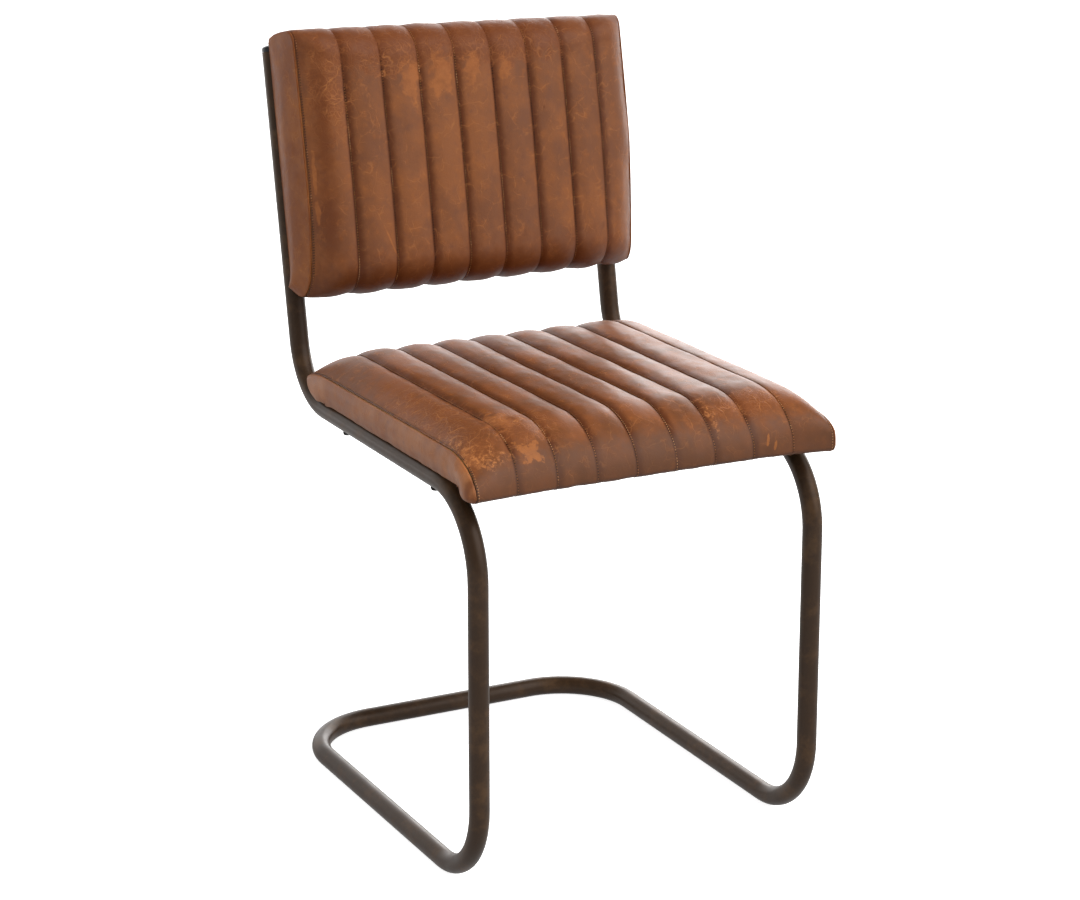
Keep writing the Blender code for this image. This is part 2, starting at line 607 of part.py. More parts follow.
def back_foam(finish, back):
    """The foam of the back, moulded over the board's top and bottom edges."""
    inset = LEATHER + SOFT_GAP
    loops = []
    for x in stations(BACK_HALF_WIDTH, BACK_CHANNELS, FOAM_FACETS):
        share = x / BACK_HALF_WIDTH
        skin = back_section(x, inset)[1:-1]
        under = [(BACK_BOARD_FRONT + GAP, BACK_BOTTOM + BACK_BOARD_SETBACK),
                 (BACK_BOARD_FRONT + GAP, BACK_TOP - BACK_BOARD_SETBACK)]
        loops.append([(share * (back_edge(forward) - SOFT_GAP), -forward, up)
                      for forward, up in skin + under])
    return make_object("back_foam", loft("back_foam", loops), finish, back)


def screw_mesh(length):
    """A pan-head wood screw, head down, its shank running up from zero to a point."""
    head, shank = SCREW_HEAD_DIAMETER / 2, SCREW_DIAMETER / 2
    return turned("screw", [(0, -SCREW_HEAD_HEIGHT), (head * 0.7, -SCREW_HEAD_HEIGHT),
                            (head, -SCREW_HEAD_HEIGHT * 0.4), (head, 0), (shank, 0),
                            (shank, length - SCREW_POINT), (0, length)], BOLT_SIDES)


def back(leather, foam, plywood, steel, back_datum, back_face):
    back_front_cover(leather, back_datum)
    back_side_band("back_side_band_right", -1, leather, back_datum)
    back_side_band("back_side_band_left", 1, leather, back_datum)
    back_foam(foam, back_datum)
    half_board = back_edge(BACK_BOARD_REAR)
    low, high = BACK_BOTTOM + BACK_BOARD_SETBACK, BACK_TOP - BACK_BOARD_SETBACK
    panel = board("back_board", half_board, low, high, BOARD_THICKNESS, plywood, back_face)
    panel.location.z = BACK_BOARD_REAR
    spots = back_screw_places()
    radius = SCREW_DIAMETER / 2 + GAP
    cut(panel, holes("back_pilot_holes", radius, BOARD_THICKNESS * 2,
                     [(x, up, BACK_BOARD_REAR) for x, up in spots], back_face))
    cover = board("back_rear_panel", half_board + GAP + LEATHER, BACK_BOTTOM + BACK_REAR_STEP,
                  BACK_TOP - BACK_REAR_STEP, LEATHER, leather, back_face)
    cover.location.z = BACK_REAR
    cut(cover, holes("back_panel_holes", radius, LEATHER * 4,
                     [(x, up, BACK_REAR) for x, up in spots], back_face))
    head_y = -TUBE_FLAT - GAP
    screw = screw_mesh(BACK_BOARD_FRONT - SCREW_END_IN_BOARD - head_y)
    for name, (x, up) in zip(["right_low", "left_low", "right_high", "left_high"], spots):
        fastener = make_object("back_screw_" + name, screw, steel, back_face)
        fastener.location = (x, up, head_y)


def build():
    clear_scene()
    lacquer = material("lacquered_steel", (0.055, 0.042, 0.034), 0.42, 0.6)
    leather = material("cognac_leather", (0.26, 0.105, 0.045), 0.48)
    foam = material("cushion_foam", (0.75, 0.66, 0.42), 0.95)
    plywood = material("plywood", (0.50, 0.35, 0.20), 0.70)
    lining = material("lining_cloth", (0.02, 0.02, 0.02), 0.95)
    plastic = material("black_plastic", (0.015, 0.015, 0.016), 0.45)
    steel = material("blackened_steel", (0.05, 0.05, 0.05), 0.40, 0.9)
    chair = empty("chair", (0, -(CHAIR_FRONT + CHAIR_REAR) / 2, 0))
    back_datum = empty("back_datum", (0, RAIL_LENGTH, RAIL_HEIGHT), -BACK_RAKE, chair)
    back_face = empty("back_face", (0, 0, 0), pi / 2, back_datum)
    frame_tube(lacquer, chair, back_face)
    end_plugs(plastic, back_datum)
    seat(leather, foam, plywood, lining, steel, chair)
    back(leather, foam, plywood, steel, back_datum, back_face)


build()
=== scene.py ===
"""Looks of the cantilever dining chair: stitched leather, lacquered tube, fasteners and studio.

Lengths are in metres, in the part's own frame: X to the sitter's left, Y to the back, Z up. The
leather follows the part's form by the same formulas, with finer steps, fuller channels, a rounder
nose and the small differences between left and right that the photograph shows.
"""

from math import atan2, ceil, cos, pi, radians, sin, tan

import bmesh
import bpy
from mathutils import Matrix, Vector, noise


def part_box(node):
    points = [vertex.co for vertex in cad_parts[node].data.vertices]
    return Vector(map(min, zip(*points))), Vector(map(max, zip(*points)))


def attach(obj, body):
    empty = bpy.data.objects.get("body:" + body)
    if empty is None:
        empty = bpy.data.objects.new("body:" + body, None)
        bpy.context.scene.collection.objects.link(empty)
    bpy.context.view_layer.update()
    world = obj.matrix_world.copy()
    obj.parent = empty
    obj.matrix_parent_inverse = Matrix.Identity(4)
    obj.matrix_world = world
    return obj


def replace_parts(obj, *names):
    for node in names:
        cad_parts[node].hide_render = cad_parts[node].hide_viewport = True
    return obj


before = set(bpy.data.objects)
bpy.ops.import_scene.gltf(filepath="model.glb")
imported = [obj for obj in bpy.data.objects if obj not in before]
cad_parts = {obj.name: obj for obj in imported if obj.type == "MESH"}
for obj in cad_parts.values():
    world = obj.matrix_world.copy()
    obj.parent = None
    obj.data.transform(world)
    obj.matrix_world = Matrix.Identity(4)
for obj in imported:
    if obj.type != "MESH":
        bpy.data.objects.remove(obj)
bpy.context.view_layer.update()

# Tube: the part's sizes, with more sides and closer steps round its bends
TUBE_RADIUS = 0.011
TUBE_WALL = 0.0015
PART_TUBE_SIDES = 16
RAIL_HEIGHT = 0.4383
RAIL_LENGTH = 0.4528
FLOOR_RAIL_LENGTH = 0.4996
UPRIGHT_LENGTH = 0.3913
BACK_RAKE = radians(10.8)
BACK_BEND_RADIUS = 0.0774
KNEE_BEND_RADIUS = 0.0902
FLOOR_BEND_RADIUS = 0.0915
TUBE_SIDES = 48
BEND_STEP = radians(3)
END_BORE = 0.020

# Fit between touching pieces, as in the part
GAP = 0.0003
LEATHER = 0.0013
SOFT_GAP = 0.0010

# Seat cushion: the part's lengths, but for a deeper and lower nose, a fuller top and shoulder,
# and corners that differ from left to right
SEAT_CHANNELS = 9
SEAT_HALF_WIDTH = 0.207
SEAT_NOSE_PAST_LEG = 0.0125
SEAT_REAR_PAST_BEND = 0.032
SEAT_VALLEY_THICKNESS = 0.0537
SEAT_SHOULDER_DROP = 0.0202
SEAT_SHOULDER_POWER_LEFT = 13
SEAT_SHOULDER_POWER_RIGHT = 1.6
SEAT_SHOULDER_START = 0.72
SEAT_NOSE_DEPTH = 0.075
SEAT_NOSE_HEIGHT = -0.001
SEAT_NOSE_DIP = 0.0072
SEAT_NOSE_RADIUS = 0.012
SEAT_CORNER_REACH = 0.0065
SEAT_CORNER_POWER = 4
SEAT_CORNER_SQUARE = 2.0
SEAT_CORNER_DEPTH = 0.035
SEAT_CORNER_FORWARD = 0.0050
SEAT_REAR_DEPTH = 0.058
SEAT_REAR_NOSE_HEIGHT = 0.0185
SEAT_REAR_TUCK = 0.030
SEAT_REAR_FALL = 0.0025
SEAT_HEM = 0.020
SEAT_BOARD_SETBACK = 0.017
SEAT_BOARD_REAR_SETBACK = 0.0055
SEAT_BOARD_OVERLAP = 0.0025
SEAT_BOLT_PAST_KNEE = 0.0103
BAND_HEM = 0.024

# Back cushion: the part's lengths, but for a slightly taller back and the left and right of its
# tuck, its top edge and its side bands
BACK_CHANNELS = 9
BACK_HALF_WIDTH = 0.203
BACK_PAST_UPRIGHT = 0.0157
BACK_HEIGHT = 0.292
BACK_VALLEY_THICKNESS = 0.089
BACK_SHOULDER_DROP = 0.024
BACK_SHOULDER_POWER = 6
BACK_EDGE_DEPTH = 0.040
BACK_EDGE_HEIGHT = 0.038
BACK_TOP_TIGHTENING = 0.62
BACK_BOTTOM_TIGHTENING = 0.33
BACK_BOW = 0.002
BACK_TUCK = 0.020
BACK_TUCK_HEIGHT = 0.150
BACK_TUCK_POWER_RIGHT = 3.0
BACK_TUCK_POWER_LEFT = 1.25
BACK_TOP_FALL = 0.0045
BACK_REAR_STEP = 0.004
BACK_BOARD_OVERLAP = 0.0035
BAND_FOLD = 0.42
BAND_PUFF_RIGHT = 0.0045
BAND_PUFF_LEFT = 0.0008
BACK_BOARD_SETBACK = 0.006
BOARD_THICKNESS = 0.012
BACK_CORNER_RADIUS = 0.005
BACK_CORNER_DEPTH = 0.025

# Finer form of the leather: lobe heights, how flat a lobe's crown is, the pinch of a sewn seam,
# and the skin's ripples: on the bands the place of their noise and their height come first, and
# then their length along and across
SEAT_LOBE = 0.0042
SEAT_LAST_SEAM_FILL = 0.0024
SEAT_LAST_SEAM_REACH = 0.010
BACK_LOBE = 0.0039
SEAT_CROWN = 2.3
BACK_CROWN = 2.1
SEAM_PINCH = 0.0001
SEAM_PINCH_WIDTH = 0.0011
LOBE_STEPS = 18
FOAM_LOBE_STEPS = 6
FINENESS = 2
RIPPLE = 0.0007
SEAT_RIPPLES = (0.055, 0.020)
BACK_RIPPLES = (0.060, 0.022)
SEAT_BAND_RIPPLES = (3.1, 0.0007, 0.016, 0.07)
BACK_BAND_RIPPLES = (7.7, 0.0005, 0.03, 0.045)
SEAT_BAND_TURN = 0.004
SEAT_BAND_RISE = 14
SEAT_BAND_SWELL = 0.0022
SEAT_BAND_NOSE_SWELL = 0.005
SEAT_BAND_NOSE_PULL = 0.003
SEAT_BAND_NOSE_REACH = 0.05
SEAT_BAND_FOOT_POWER = 1.6
BACK_BAND_RISE = 24
BACK_BAND_FILL = (0.010, 0.110)

# Stitches
STITCH_PITCH = 0.0030
STITCH_LENGTH = 0.0021
THREAD_WIDTH = 0.0008
THREAD_RISE = 0.0002
SIDE_STITCH_INSET = 0.0016
STITCH_BESIDE = 0.0011
RUBBED_FRONT = 0.05
RUBBED_CORNER = (0.19, 0.035)

# Fasteners and plugs: the part's sizes, and each head's profile as shares of its height and radius
BOLT_HEAD_RADIUS = 0.00525
BOLT_HEAD_HEIGHT = 0.0033
BOLT_SHANK_RADIUS = 0.003
BOLT_SOCKET_WIDTH = 0.004
BOLT_SOCKET_DEPTH = 0.002
BOLT_HEAD_PROFILE = ((1, 0.60), (0.97, 0.68), (0.80, 0.85), (0.52, 0.96), (0.20, 1), (0, 1))
SCREW_HEAD_RADIUS = 0.004
SCREW_HEAD_HEIGHT = 0.0026
SCREW_SHANK_RADIUS = 0.0021
SCREW_POINT = 0.004
SCREW_SHORT_OF_FOAM = 0.002
SCREW_HEAD_PROFILE = ((1, 0.66), (0.94, 0.78), (0.70, 0.93), (0.35, 1), (0, 1))
RECESS_REACH = 0.0024
RECESS_WIDTH = 0.0011
RECESS_DEPTH = 0.0015
FASTENER_STEPS = 48
PLUG_RIM_HEIGHT = 0.003
PLUG_DOME_HEIGHT = 0.0045
PLUG_STEM_LENGTH = 0.014
PLUG_EDGE = 0.0008

# Places worked out from the sizes above and from the frame
TUBE_FLAT = TUBE_RADIUS * cos(pi / PART_TUBE_SIDES)
UPRIGHT_TURN = pi / 2 - BACK_RAKE
RAIL_STRAIGHT_END = RAIL_LENGTH - BACK_BEND_RADIUS * tan(UPRIGHT_TURN / 2)
front_bolt = sum(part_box("seat_bolt_left_front"), Vector()) / 2
HALF_FRAME = front_bolt.x
CHAIR_Y = front_bolt.y - KNEE_BEND_RADIUS - SEAT_BOLT_PAST_KNEE
SEAT_BOTTOM = RAIL_HEIGHT + TUBE_FLAT + GAP
SEAT_NOSE_Y = -SEAT_NOSE_PAST_LEG
SEAT_REAR_Y = RAIL_STRAIGHT_END + SEAT_REAR_PAST_BEND
SEAT_BOARD_FRONT = SEAT_NOSE_Y + SEAT_BOARD_SETBACK
SEAT_BOARD_REAR = RAIL_STRAIGHT_END - SEAT_BOARD_REAR_SETBACK
SEAT_BOARD_TOP = SEAT_BOTTOM + LEATHER + GAP + BOARD_THICKNESS
SEAT_HEM_FRONT = SEAT_BOARD_FRONT + SEAT_HEM
SEAT_HEM_REAR = RAIL_STRAIGHT_END - SEAT_HEM
BACK_TOP = UPRIGHT_LENGTH + BACK_PAST_UPRIGHT
BACK_BOTTOM = BACK_TOP - BACK_HEIGHT
BACK_REAR = TUBE_FLAT + GAP
BACK_BOARD_REAR = BACK_REAR + LEATHER + GAP
BACK_BOARD_FRONT = BACK_BOARD_REAR + BOARD_THICKNESS
BACK_FRONT = BACK_REAR + BACK_VALLEY_THICKNESS
ON_CHAIR = Matrix.Translation((0, CHAIR_Y, 0))
ON_BACK = (Matrix.Translation((0, CHAIR_Y + RAIL_LENGTH, RAIL_HEIGHT))
           @ Matrix.Rotation(-BACK_RAKE, 4, "X"))

# Photograph's view: where the camera looks, from which side and how far off, and its lens
VIEW_TARGET = Vector((-0.0155, -0.03557, 0.4095))
VIEW_AZIMUTH = -27.03
VIEW_ELEVATION = 16.66
VIEW_DISTANCE = 3.2937
VIEW_LENS_MM = 99.2
SENSOR_MM = 36.0

# Wear, stains and painted shade that the photograph shows, in the whole chair's frame: a centre,
# three radii, a turn about Y
BACK_CRACKLED = (
    ((-0.085, 0.165, 0.836), (0.085, 0.06, 0.030)),
    ((0.030, 0.165, 0.832), (0.085, 0.06, 0.026)),
    ((-0.175, 0.160, 0.800), (0.020, 0.06, 0.060)))
BACK_WORN = (
    ((-0.079, 0.156, 0.798), (0.012, 0.06, 0.020)),
    ((-0.042, 0.156, 0.802), (0.013, 0.06, 0.022)),
    ((-0.003, 0.156, 0.806), (0.009, 0.06, 0.016)),
    ((0.038, 0.156, 0.800), (0.006, 0.06, 0.014)),
    ((-0.1970, 0.152, 0.700), (0.0017, 0.06, 0.024)),
    ((-0.1965, 0.150, 0.660), (0.0021, 0.06, 0.011)),
    ((-0.1195, 0.125, 0.624), (0.0008, 0.06, 0.025), -22))
# Real stains and specks, with painted shade along the bottom edge of the front and in the first
# channel beside the sitter's right side seam; the top edge is made darker in a band
BACK_STAINS_AND_SHADE = (
    ((-0.185, 0.155, 0.750), (0.0080, 0.06, 0.080)),
    ((-0.187, 0.145, 0.655), (0.0095, 0.06, 0.060)),
    ((-0.055, 0.164, 0.830), (0.007, 0.06, 0.008)),
    ((0.0, 0.130, 0.574), (0.300, 0.09, 0.031)),
    ((0.0, 0.175, 0.846), (0.300, 0.09, 0.026)),
    ((-0.1560, 0.140, 0.6786), (0.0012, 0.02, 0.0012)),
    ((0.0830, 0.146, 0.7558), (0.0012, 0.02, 0.0016)))
SEAT_CRACKLED = (
    ((-0.186, -0.150, 0.495), (0.024, 0.120, 0.04)),
    ((-0.135, -0.215, 0.500), (0.040, 0.035, 0.03)),
    ((0.130, -0.236, 0.496), (0.050, 0.018, 0.03)))
SEAT_WORN = (
    ((-0.1520, -0.205, 0.503), (0.012, 0.022, 0.02)),
    ((-0.2020, -0.247, 0.480), (0.006, 0.016, 0.012)))
SEAT_FLAKED = (
    ((-0.1405, -0.258, 0.4830), (0.0150, 0.03, 0.0042), 32),
    ((-0.1390, -0.258, 0.4835), (0.0135, 0.03, 0.0045), -40),
    ((0.1344, -0.2715, 0.4630), (0.0016, 0.01, 0.0060), 12),
    ((0.1425, -0.2739, 0.4560), (0.0014, 0.01, 0.0050), 12))
# Painted shade at the middle of the seat's rear, under the back cushion
SEAT_SHADE_UNDER_BACK = (
    ((-0.020, 0.110, 0.500), (0.020, 0.030, 0.03)),)
SEAT_FLECKED = (
    ((-0.190, -0.252, 0.481), (0.024, 0.03, 0.010)),
    ((-0.203, -0.215, 0.488), (0.007, 0.035, 0.014)),
    ((0.0780, -0.246, 0.492), (0.0040, 0.022, 0.02)))
# Painted shade on the lower front face of the seat, across its width
SEAT_FRONT_SHADE = (
    ((0.0, -0.285, 0.452), (0.40, 0.05, 0.038)),)
SIDE_WORN = (
    ((-0.212, -0.243, 0.474), (0.01, 0.014, 0.006)),)
# Painted shade in the tuck at the front end of the sitter's right band and along its lower edge
SIDE_BAND_SHADE = (
    ((-0.215, -0.2688, 0.4555), (0.03, 0.0042, 0.023)),
    ((-0.213, -0.060, 0.4455), (0.03, 0.270, 0.0115)))

# Studio: azimuth from the chair's front towards its left, and elevation, in degrees
ROOM_LIGHT = 0.21
SWEEP_LIGHT = 2.0
FRONT_BOX_LIGHT = 1.45
FRONT_BOX_AIM = (40, 36)
FRONT_BOX_REACH = 46
REAR_BOX_PLACE = (1.55, 1.30, 0.95)
REAR_BOX_SIZE = (1.9, 1.3)
REAR_BOX_POWER = 20
LAMPS = (("key", (38, 51), 1.95, 40), ("fill", (-85, 15), 1.15, 70))
PAPER_REACH = 40.0
PAPER_BELOW_CHAIR = 0.0002
PAPER_GLOW = 0.8
PAPER_SHINE = 0.45
PAPER_SHINE_BEHIND = 1.7
PAPER_SHINE_FROM = (2.8, 4.6)
SEAT_MIDDLE = Vector((0, -0.05, 0.5))


def aim(azimuth, elevation):
    """The direction from the chair towards a light or the camera."""
    a, e = radians(azimuth), radians(elevation)
    return Vector((sin(a) * cos(e), -cos(a) * cos(e), sin(e)))


# Materials

def colour(code):
    """An sRGB hex value as the linear colour that a shader takes."""
    parts = [int(code[i:i + 2], 16) / 255 for i in (1, 3, 5)]
    return (*[c / 12.92 if c < 0.04045 else ((c + 0.055) / 1.055) ** 2.4 for c in parts], 1.0)


def add(tree, kind, inputs=None, **settings):
    """Adds a node with its settings, and its inputs set to values or linked to other outputs."""
    node = tree.nodes.new(kind)
    for name, value in settings.items():
        setattr(node, name, value)
    for name, value in (inputs or {}).items():
        if isinstance(value, bpy.types.NodeSocket):
            tree.links.new(value, node.inputs[name])
        else:
            node.inputs[name].default_value = value
    return node


def between(value, low, high, bottom=0.0, top=1.0):
    """The value's smooth step from bottom to top as it passes from low to high."""
    limits = {"From Min": low, "From Max": high, "To Min": bottom, "To Max": top}
    return add(value.id_data, "ShaderNodeMapRange", {"Value": value, **limits},
               interpolation_type="SMOOTHSTEP").outputs[0]


def times(first, second, operation="MULTIPLY"):
    """Two values multiplied, or joined by another operation."""
    tree = (first if isinstance(first, bpy.types.NodeSocket) else second).id_data
    return add(tree, "ShaderNodeMath", {0: first, 1: second}, operation=operation).outputs[0]


def apart(first, second):
    """How far apart two values are."""
    return times(times(first, second, "SUBTRACT"), 0.0, "ABSOLUTE")


def blend(share, first, second):
    """The second colour over the first, by the share. Each is a hex value or a node's output."""
    shades = [colour(shade) if isinstance(shade, str) else shade for shade in (first, second)]
    return add(share.id_data, "ShaderNodeMix", {0: share, 6: shades[0], 7: shades[1]},
               data_type="RGBA").outputs[2]


def pattern(place, kind, millimetres, inputs=None, output=0, **settings):
    """A texture whose features are that many millimetres apart."""
    return add(place.id_data, "ShaderNodeTex" + kind,
               {"Vector": place, "Scale": 1000 / millimetres, **(inputs or {})},
               **settings).outputs[output]


def patches(place, spots, ragged, softness):
    """1 inside any of the spots, each a centre, three radii and a turn about Y in degrees, with a
    ragged soft edge."""
    tree, found = place.id_data, None
    for centre, radii, *turn in spots:
        turned = (0.0, radians(turn[0]) if turn else 0.0, 0.0)
        scaled = add(tree, "ShaderNodeMapping", {"Vector": place, "Location": centre,
                                                 "Rotation": turned, "Scale": radii},
                     vector_type="TEXTURE").outputs[0]
        away = add(tree, "ShaderNodeVectorMath", {0: scaled}, operation="LENGTH").outputs["Value"]
        inside = between(times(away, ragged, "ADD"), 1 + softness, 1 - softness)
        found = inside if found is None else times(found, inside, "MAXIMUM")
    return found


def finish_of(name, roughness, metallic=0.0, others=None):
    """A new material: its tree, its shader and its object coordinates."""
    made = bpy.data.materials.new(name)
    made.use_nodes = True
    tree = made.node_tree
    shader = tree.nodes["Principled BSDF"]
    values = {"Roughness": roughness, "Metallic": metallic, "IOR": 1.5, **(others or {})}
    for socket, value in values.items():
        shader.inputs[socket].default_value = value
    return made, tree, shader, add(tree, "ShaderNodeTexCoord").outputs["Object"]


def bump(shader, height_mm):
    """Relief of a height in millimetres."""
    tree = height_mm.id_data
    raised = add(tree, "ShaderNodeBump", {"Height": height_mm, "Strength": 1.0, "Distance": 0.001})
    tree.links.new(raised.outputs[0], shader.inputs["Normal"])


def waxed_leather(name, tan, brown, gloss, shine=0.34, pitch=0.0, first_seam=0.0, last_seam=0.9,
                  crackled=(), worn=(), shaded=(), stains_and_shade=(), flecked=(), flaked=()):
    """Full-grain cowhide, dyed cognac and waxed: a satin skin, darker beside its seams by dye and
    by painted shade, that goes orange where rubbing lifts the wax and pale along its creases."""
    made, tree, shader, place = finish_of(name, 0.45, others={
        "IOR": 1.45, "Specular IOR Level": shine, "Coat Weight": gloss, "Coat Roughness": 0.28})
    wander = pattern(place, "Noise", 30, {"Detail": 2.0}, "Color")
    shift = add(tree, "ShaderNodeVectorMath", {0: wander, 1: (0.5, 0.5, 0.5)},
                operation="SUBTRACT").outputs[0]
    pushed = add(tree, "ShaderNodeVectorMath", {0: shift, 1: (0.03, 0.03, 0.03), 2: place},
                 operation="MULTIPLY_ADD").outputs[0]

    # Dye clouds of a hand's width, a finer mottle, and grain as coarse as the render can show
    clouds = pattern(place, "Noise", 60, {"Detail": 3.0, "Roughness": 0.6})
    mottle = pattern(place, "Noise", 14, {"Detail": 7.0, "Roughness": 0.68})
    grain = pattern(place, "Voronoi", 1.8)
    ragged = between(pattern(place, "Noise", 9, {"Detail": 4.0}), 0.2, 0.8, -0.55, 0.55)
    skin = blend(between(clouds, 0.38, 0.64), brown, tan)
    skin = blend(between(mottle, 0.50, 0.76, 0.0, 0.42), skin, "#a8632f")
    skin = blend(between(mottle, 0.47, 0.25, 0.0, 0.50), skin, "#6c4331")

    # Painted shade beside the sewn valleys, across about a centimetre after each seam and narrow
    # before it, with dye gathered in the seam; and painted shade in the needle's holes, a stitch
    # apart
    if pitch:
        hide = add(tree, "ShaderNodeUVMap", uv_map="hide").outputs["UV"]
        across, along, _ = add(tree, "ShaderNodeSeparateXYZ", {0: hide}).outputs
        from_edge = times(across, first_seam, "SUBTRACT")
        from_seam = times(from_edge, pitch, "MODULO")
        before = times(pitch, from_seam, "SUBTRACT")
        frayed = times(from_seam, times(ragged, 0.0020), "ADD")
        seam_dye_and_shade = times(between(frayed, 0.0110, 0.0025), between(before, 0.0025, 0.0), "MAXIMUM")
        seam_dye_and_shade = times(seam_dye_and_shade, between(from_edge, pitch * 0.6, pitch * 0.8, 0.15, 0.9))
        seam_dye_and_shade = times(seam_dye_and_shade, between(from_edge, pitch * 7.6, pitch * 7.9, 1.0, last_seam))
        # Painted shade, with some dye, beside each seam
        skin = blend(seam_dye_and_shade, skin, "#572a0e")
        from_side = apart(apart(across, 0.0), -first_seam - SIDE_STITCH_INSET)
        near = times(apart(from_seam, STITCH_BESIDE), times(from_side, 1.7), "MINIMUM")
        past_hole = times(along, STITCH_PITCH, "MODULO")
        to_hole = times(past_hole, times(STITCH_PITCH, past_hole, "SUBTRACT"), "MINIMUM")
        hole_shade = times(between(near, 0.0010, 0.0005), between(to_hole, 0.0011, 0.0005))
        # Painted shade in the needle's holes
        skin = blend(times(hole_shade, 0.85), skin, "#1c0e06")

    # Fine creases: broken pieces of a distorted net and of curved hairlines, thick where crackled
    coarse_net = pattern(pushed, "Voronoi", 24, feature="DISTANCE_TO_EDGE")
    coarse_crease = between(coarse_net, 0.026, 0.006)
    contours = apart(pattern(pushed, "Noise", 26, {"Detail": 2.5, "Roughness": 0.45}), 0.5)
    crease = times(coarse_crease, between(contours, 0.004, 0.0012), "MAXIMUM")
    crease = times(times(crease, between(mottle, 0.42, 0.60)), 0.22)
    if crackled:
        zone = patches(place, crackled, ragged, 0.35)
        fine_net = pattern(pushed, "Voronoi", 5, feature="DISTANCE_TO_EDGE")
        lines = times(coarse_crease, between(fine_net, 0.09, 0.02, 0.0, 0.5), "MAXIMUM")
        lines = times(lines, between(mottle, 0.36, 0.60, 0.10, 0.60))
        crease = times(crease, times(zone, lines), "MAXIMUM")
        skin = blend(times(zone, 0.45), skin, "#864a25")
    skin = blend(crease, skin, "#c27c45")

    # Painted shade on the seat's lower front, dark patches that are partly real stains and partly
    # painted shade, patches rubbed through the wax, and flecks rubbed down to the pale fibre
    rough = between(mottle, 0.3, 0.7, 0.42, 0.52)
    # The first spots are painted shade; the second are real stains together with painted shade
    for spots, fray, softness, strength, shade in ((shaded, 0.5, 0.35, 0.45, "#5a4031"),
                                                   (stains_and_shade, 0.6, 0.8, 0.6, "#632f0e")):
        if spots:
            reached = patches(place, spots, times(ragged, fray), softness)
            skin = blend(times(reached, strength), skin, shade)
    if worn:
        rubbed = patches(place, worn, ragged, 0.25)
        skin = blend(times(rubbed, between(mottle, 0.3, 0.6, 0.20, 0.58)), skin, "#ae6a3a")
        rough = add(tree, "ShaderNodeMix", {0: rubbed, 2: rough, 3: 0.62}).outputs[0]
    if flecked:
        dots = pattern(place, "Noise", 5, {"Detail": 8.0, "Roughness": 0.8})
        bare = times(patches(place, flecked, ragged, 0.4), between(dots, 0.48, 0.60, 0.0, 0.85))
        skin = blend(bare, skin, "#bd7843")
    if flaked:
        torn = pattern(place, "Noise", 4, {"Detail": 6.0, "Roughness": 0.7})
        peeled = patches(place, flaked, between(torn, 0.3, 0.7, -0.35, 0.35), 0.12)
        peeled = times(peeled, between(mottle, 0.3, 0.6, 0.45, 0.75))
        skin = blend(peeled, skin, "#ac6833")
    tree.links.new(skin, shader.inputs["Base Color"])
    tree.links.new(rough, shader.inputs["Roughness"])
    relief = times(times(grain, 0.05), times(mottle, 0.35), "ADD")
    bump(shader, times(relief, times(crease, 0.4), "SUBTRACT"))
    return made


def lacquered_steel():
    """Mild-steel tube under a brown-black lacquer, rubbed to a satin: near-black and warm, with
    brown blooms where the lacquer is thin and short pale scratches."""
    made, tree, shader, place = finish_of("brown_lacquered_steel", 0.3, 0.2,
                                          {"Specular IOR Level": 0.3})
    bloom = pattern(place, "Noise", 28, {"Detail": 5.0, "Roughness": 0.65})
    flow = pattern(place, "Noise", 14, {"Detail": 2.0})
    nicks = pattern(place, "Voronoi", 38)
    nick = times(between(nicks, 0.040, 0.018), between(flow, 0.5, 0.6))
    paint = blend(between(bloom, 0.45, 0.75), "#3d2c1e", "#543d28")
    paint = blend(times(nick, 0.8), paint, "#8d6a4c")
    tree.links.new(paint, shader.inputs["Base Color"])
    tree.links.new(between(flow, 0.3, 0.7, 0.30, 0.38), shader.inputs["Roughness"])
    bump(shader, times(pattern(place, "Noise", 25, {"Detail": 0.0}), 0.05))
    return made


def plain_finish(name, roughness, shades, kind, millimetres, inputs=None, relief=0.0, metallic=0.0,
                 output=0, stretch=None, edges=None):
    """A material of two shades that one pattern mixes, and raises by the relief in millimetres.
    The pattern may be stretched, and may be sharpened between two edges."""
    made, tree, shader, place = finish_of(name, roughness, metallic)
    if stretch:
        place = add(tree, "ShaderNodeMapping", {"Vector": place, "Scale": stretch}).outputs[0]
    mixed = pattern(place, kind, millimetres, inputs, output)
    if edges:
        mixed = between(mixed, *edges)
    tree.links.new(blend(mixed, *shades), shader.inputs["Base Color"])
    if relief:
        bump(shader, times(mixed, relief))
    return made


def moulded_plastic():
    """Black polyethylene, injection moulded: a faint orange-peel under a soft sheen."""
    return plain_finish("moulded_black_plastic", 0.32, ("#222224", "#2c2c2e"),
                        "Noise", 1.5, {"Detail": 2.0}, relief=0.04)


def fastener_steel(name, dark, light, roughness):
    """Fastener steel with an oxide or plated skin: a dark or grey metal with a cloudy shine."""
    return plain_finish(name, roughness, (dark, light), "Noise", 3, {"Detail": 4.0}, relief=0.03,
                        metallic=1.0)


def sewing_thread(name, dark, light):
    """Bonded polyester thread, waxed: two plies seen as a faint twist of light and dark."""
    return plain_finish(name, 0.55, (dark, light), "Wave", 9, {"Distortion": 3.0}, output=1)


def birch_plywood():
    """Rotary-cut birch ply, unfinished: pale, with long flame-like grain."""
    return plain_finish("birch_plywood", 0.7, ("#b88f63", "#e0c79d"), "Noise", 60,
                        {"Detail": 6.0, "Distortion": 1.2}, relief=0.1, stretch=(8.0, 1.0, 1.0))


def cushion_foam():
    """Slabstock polyurethane foam, cut and yellowed: matt, with open cells."""
    return plain_finish("cut_polyurethane_foam", 0.95, ("#c9b06a", "#ecdca4"), "Voronoi", 2,
                        relief=0.5)


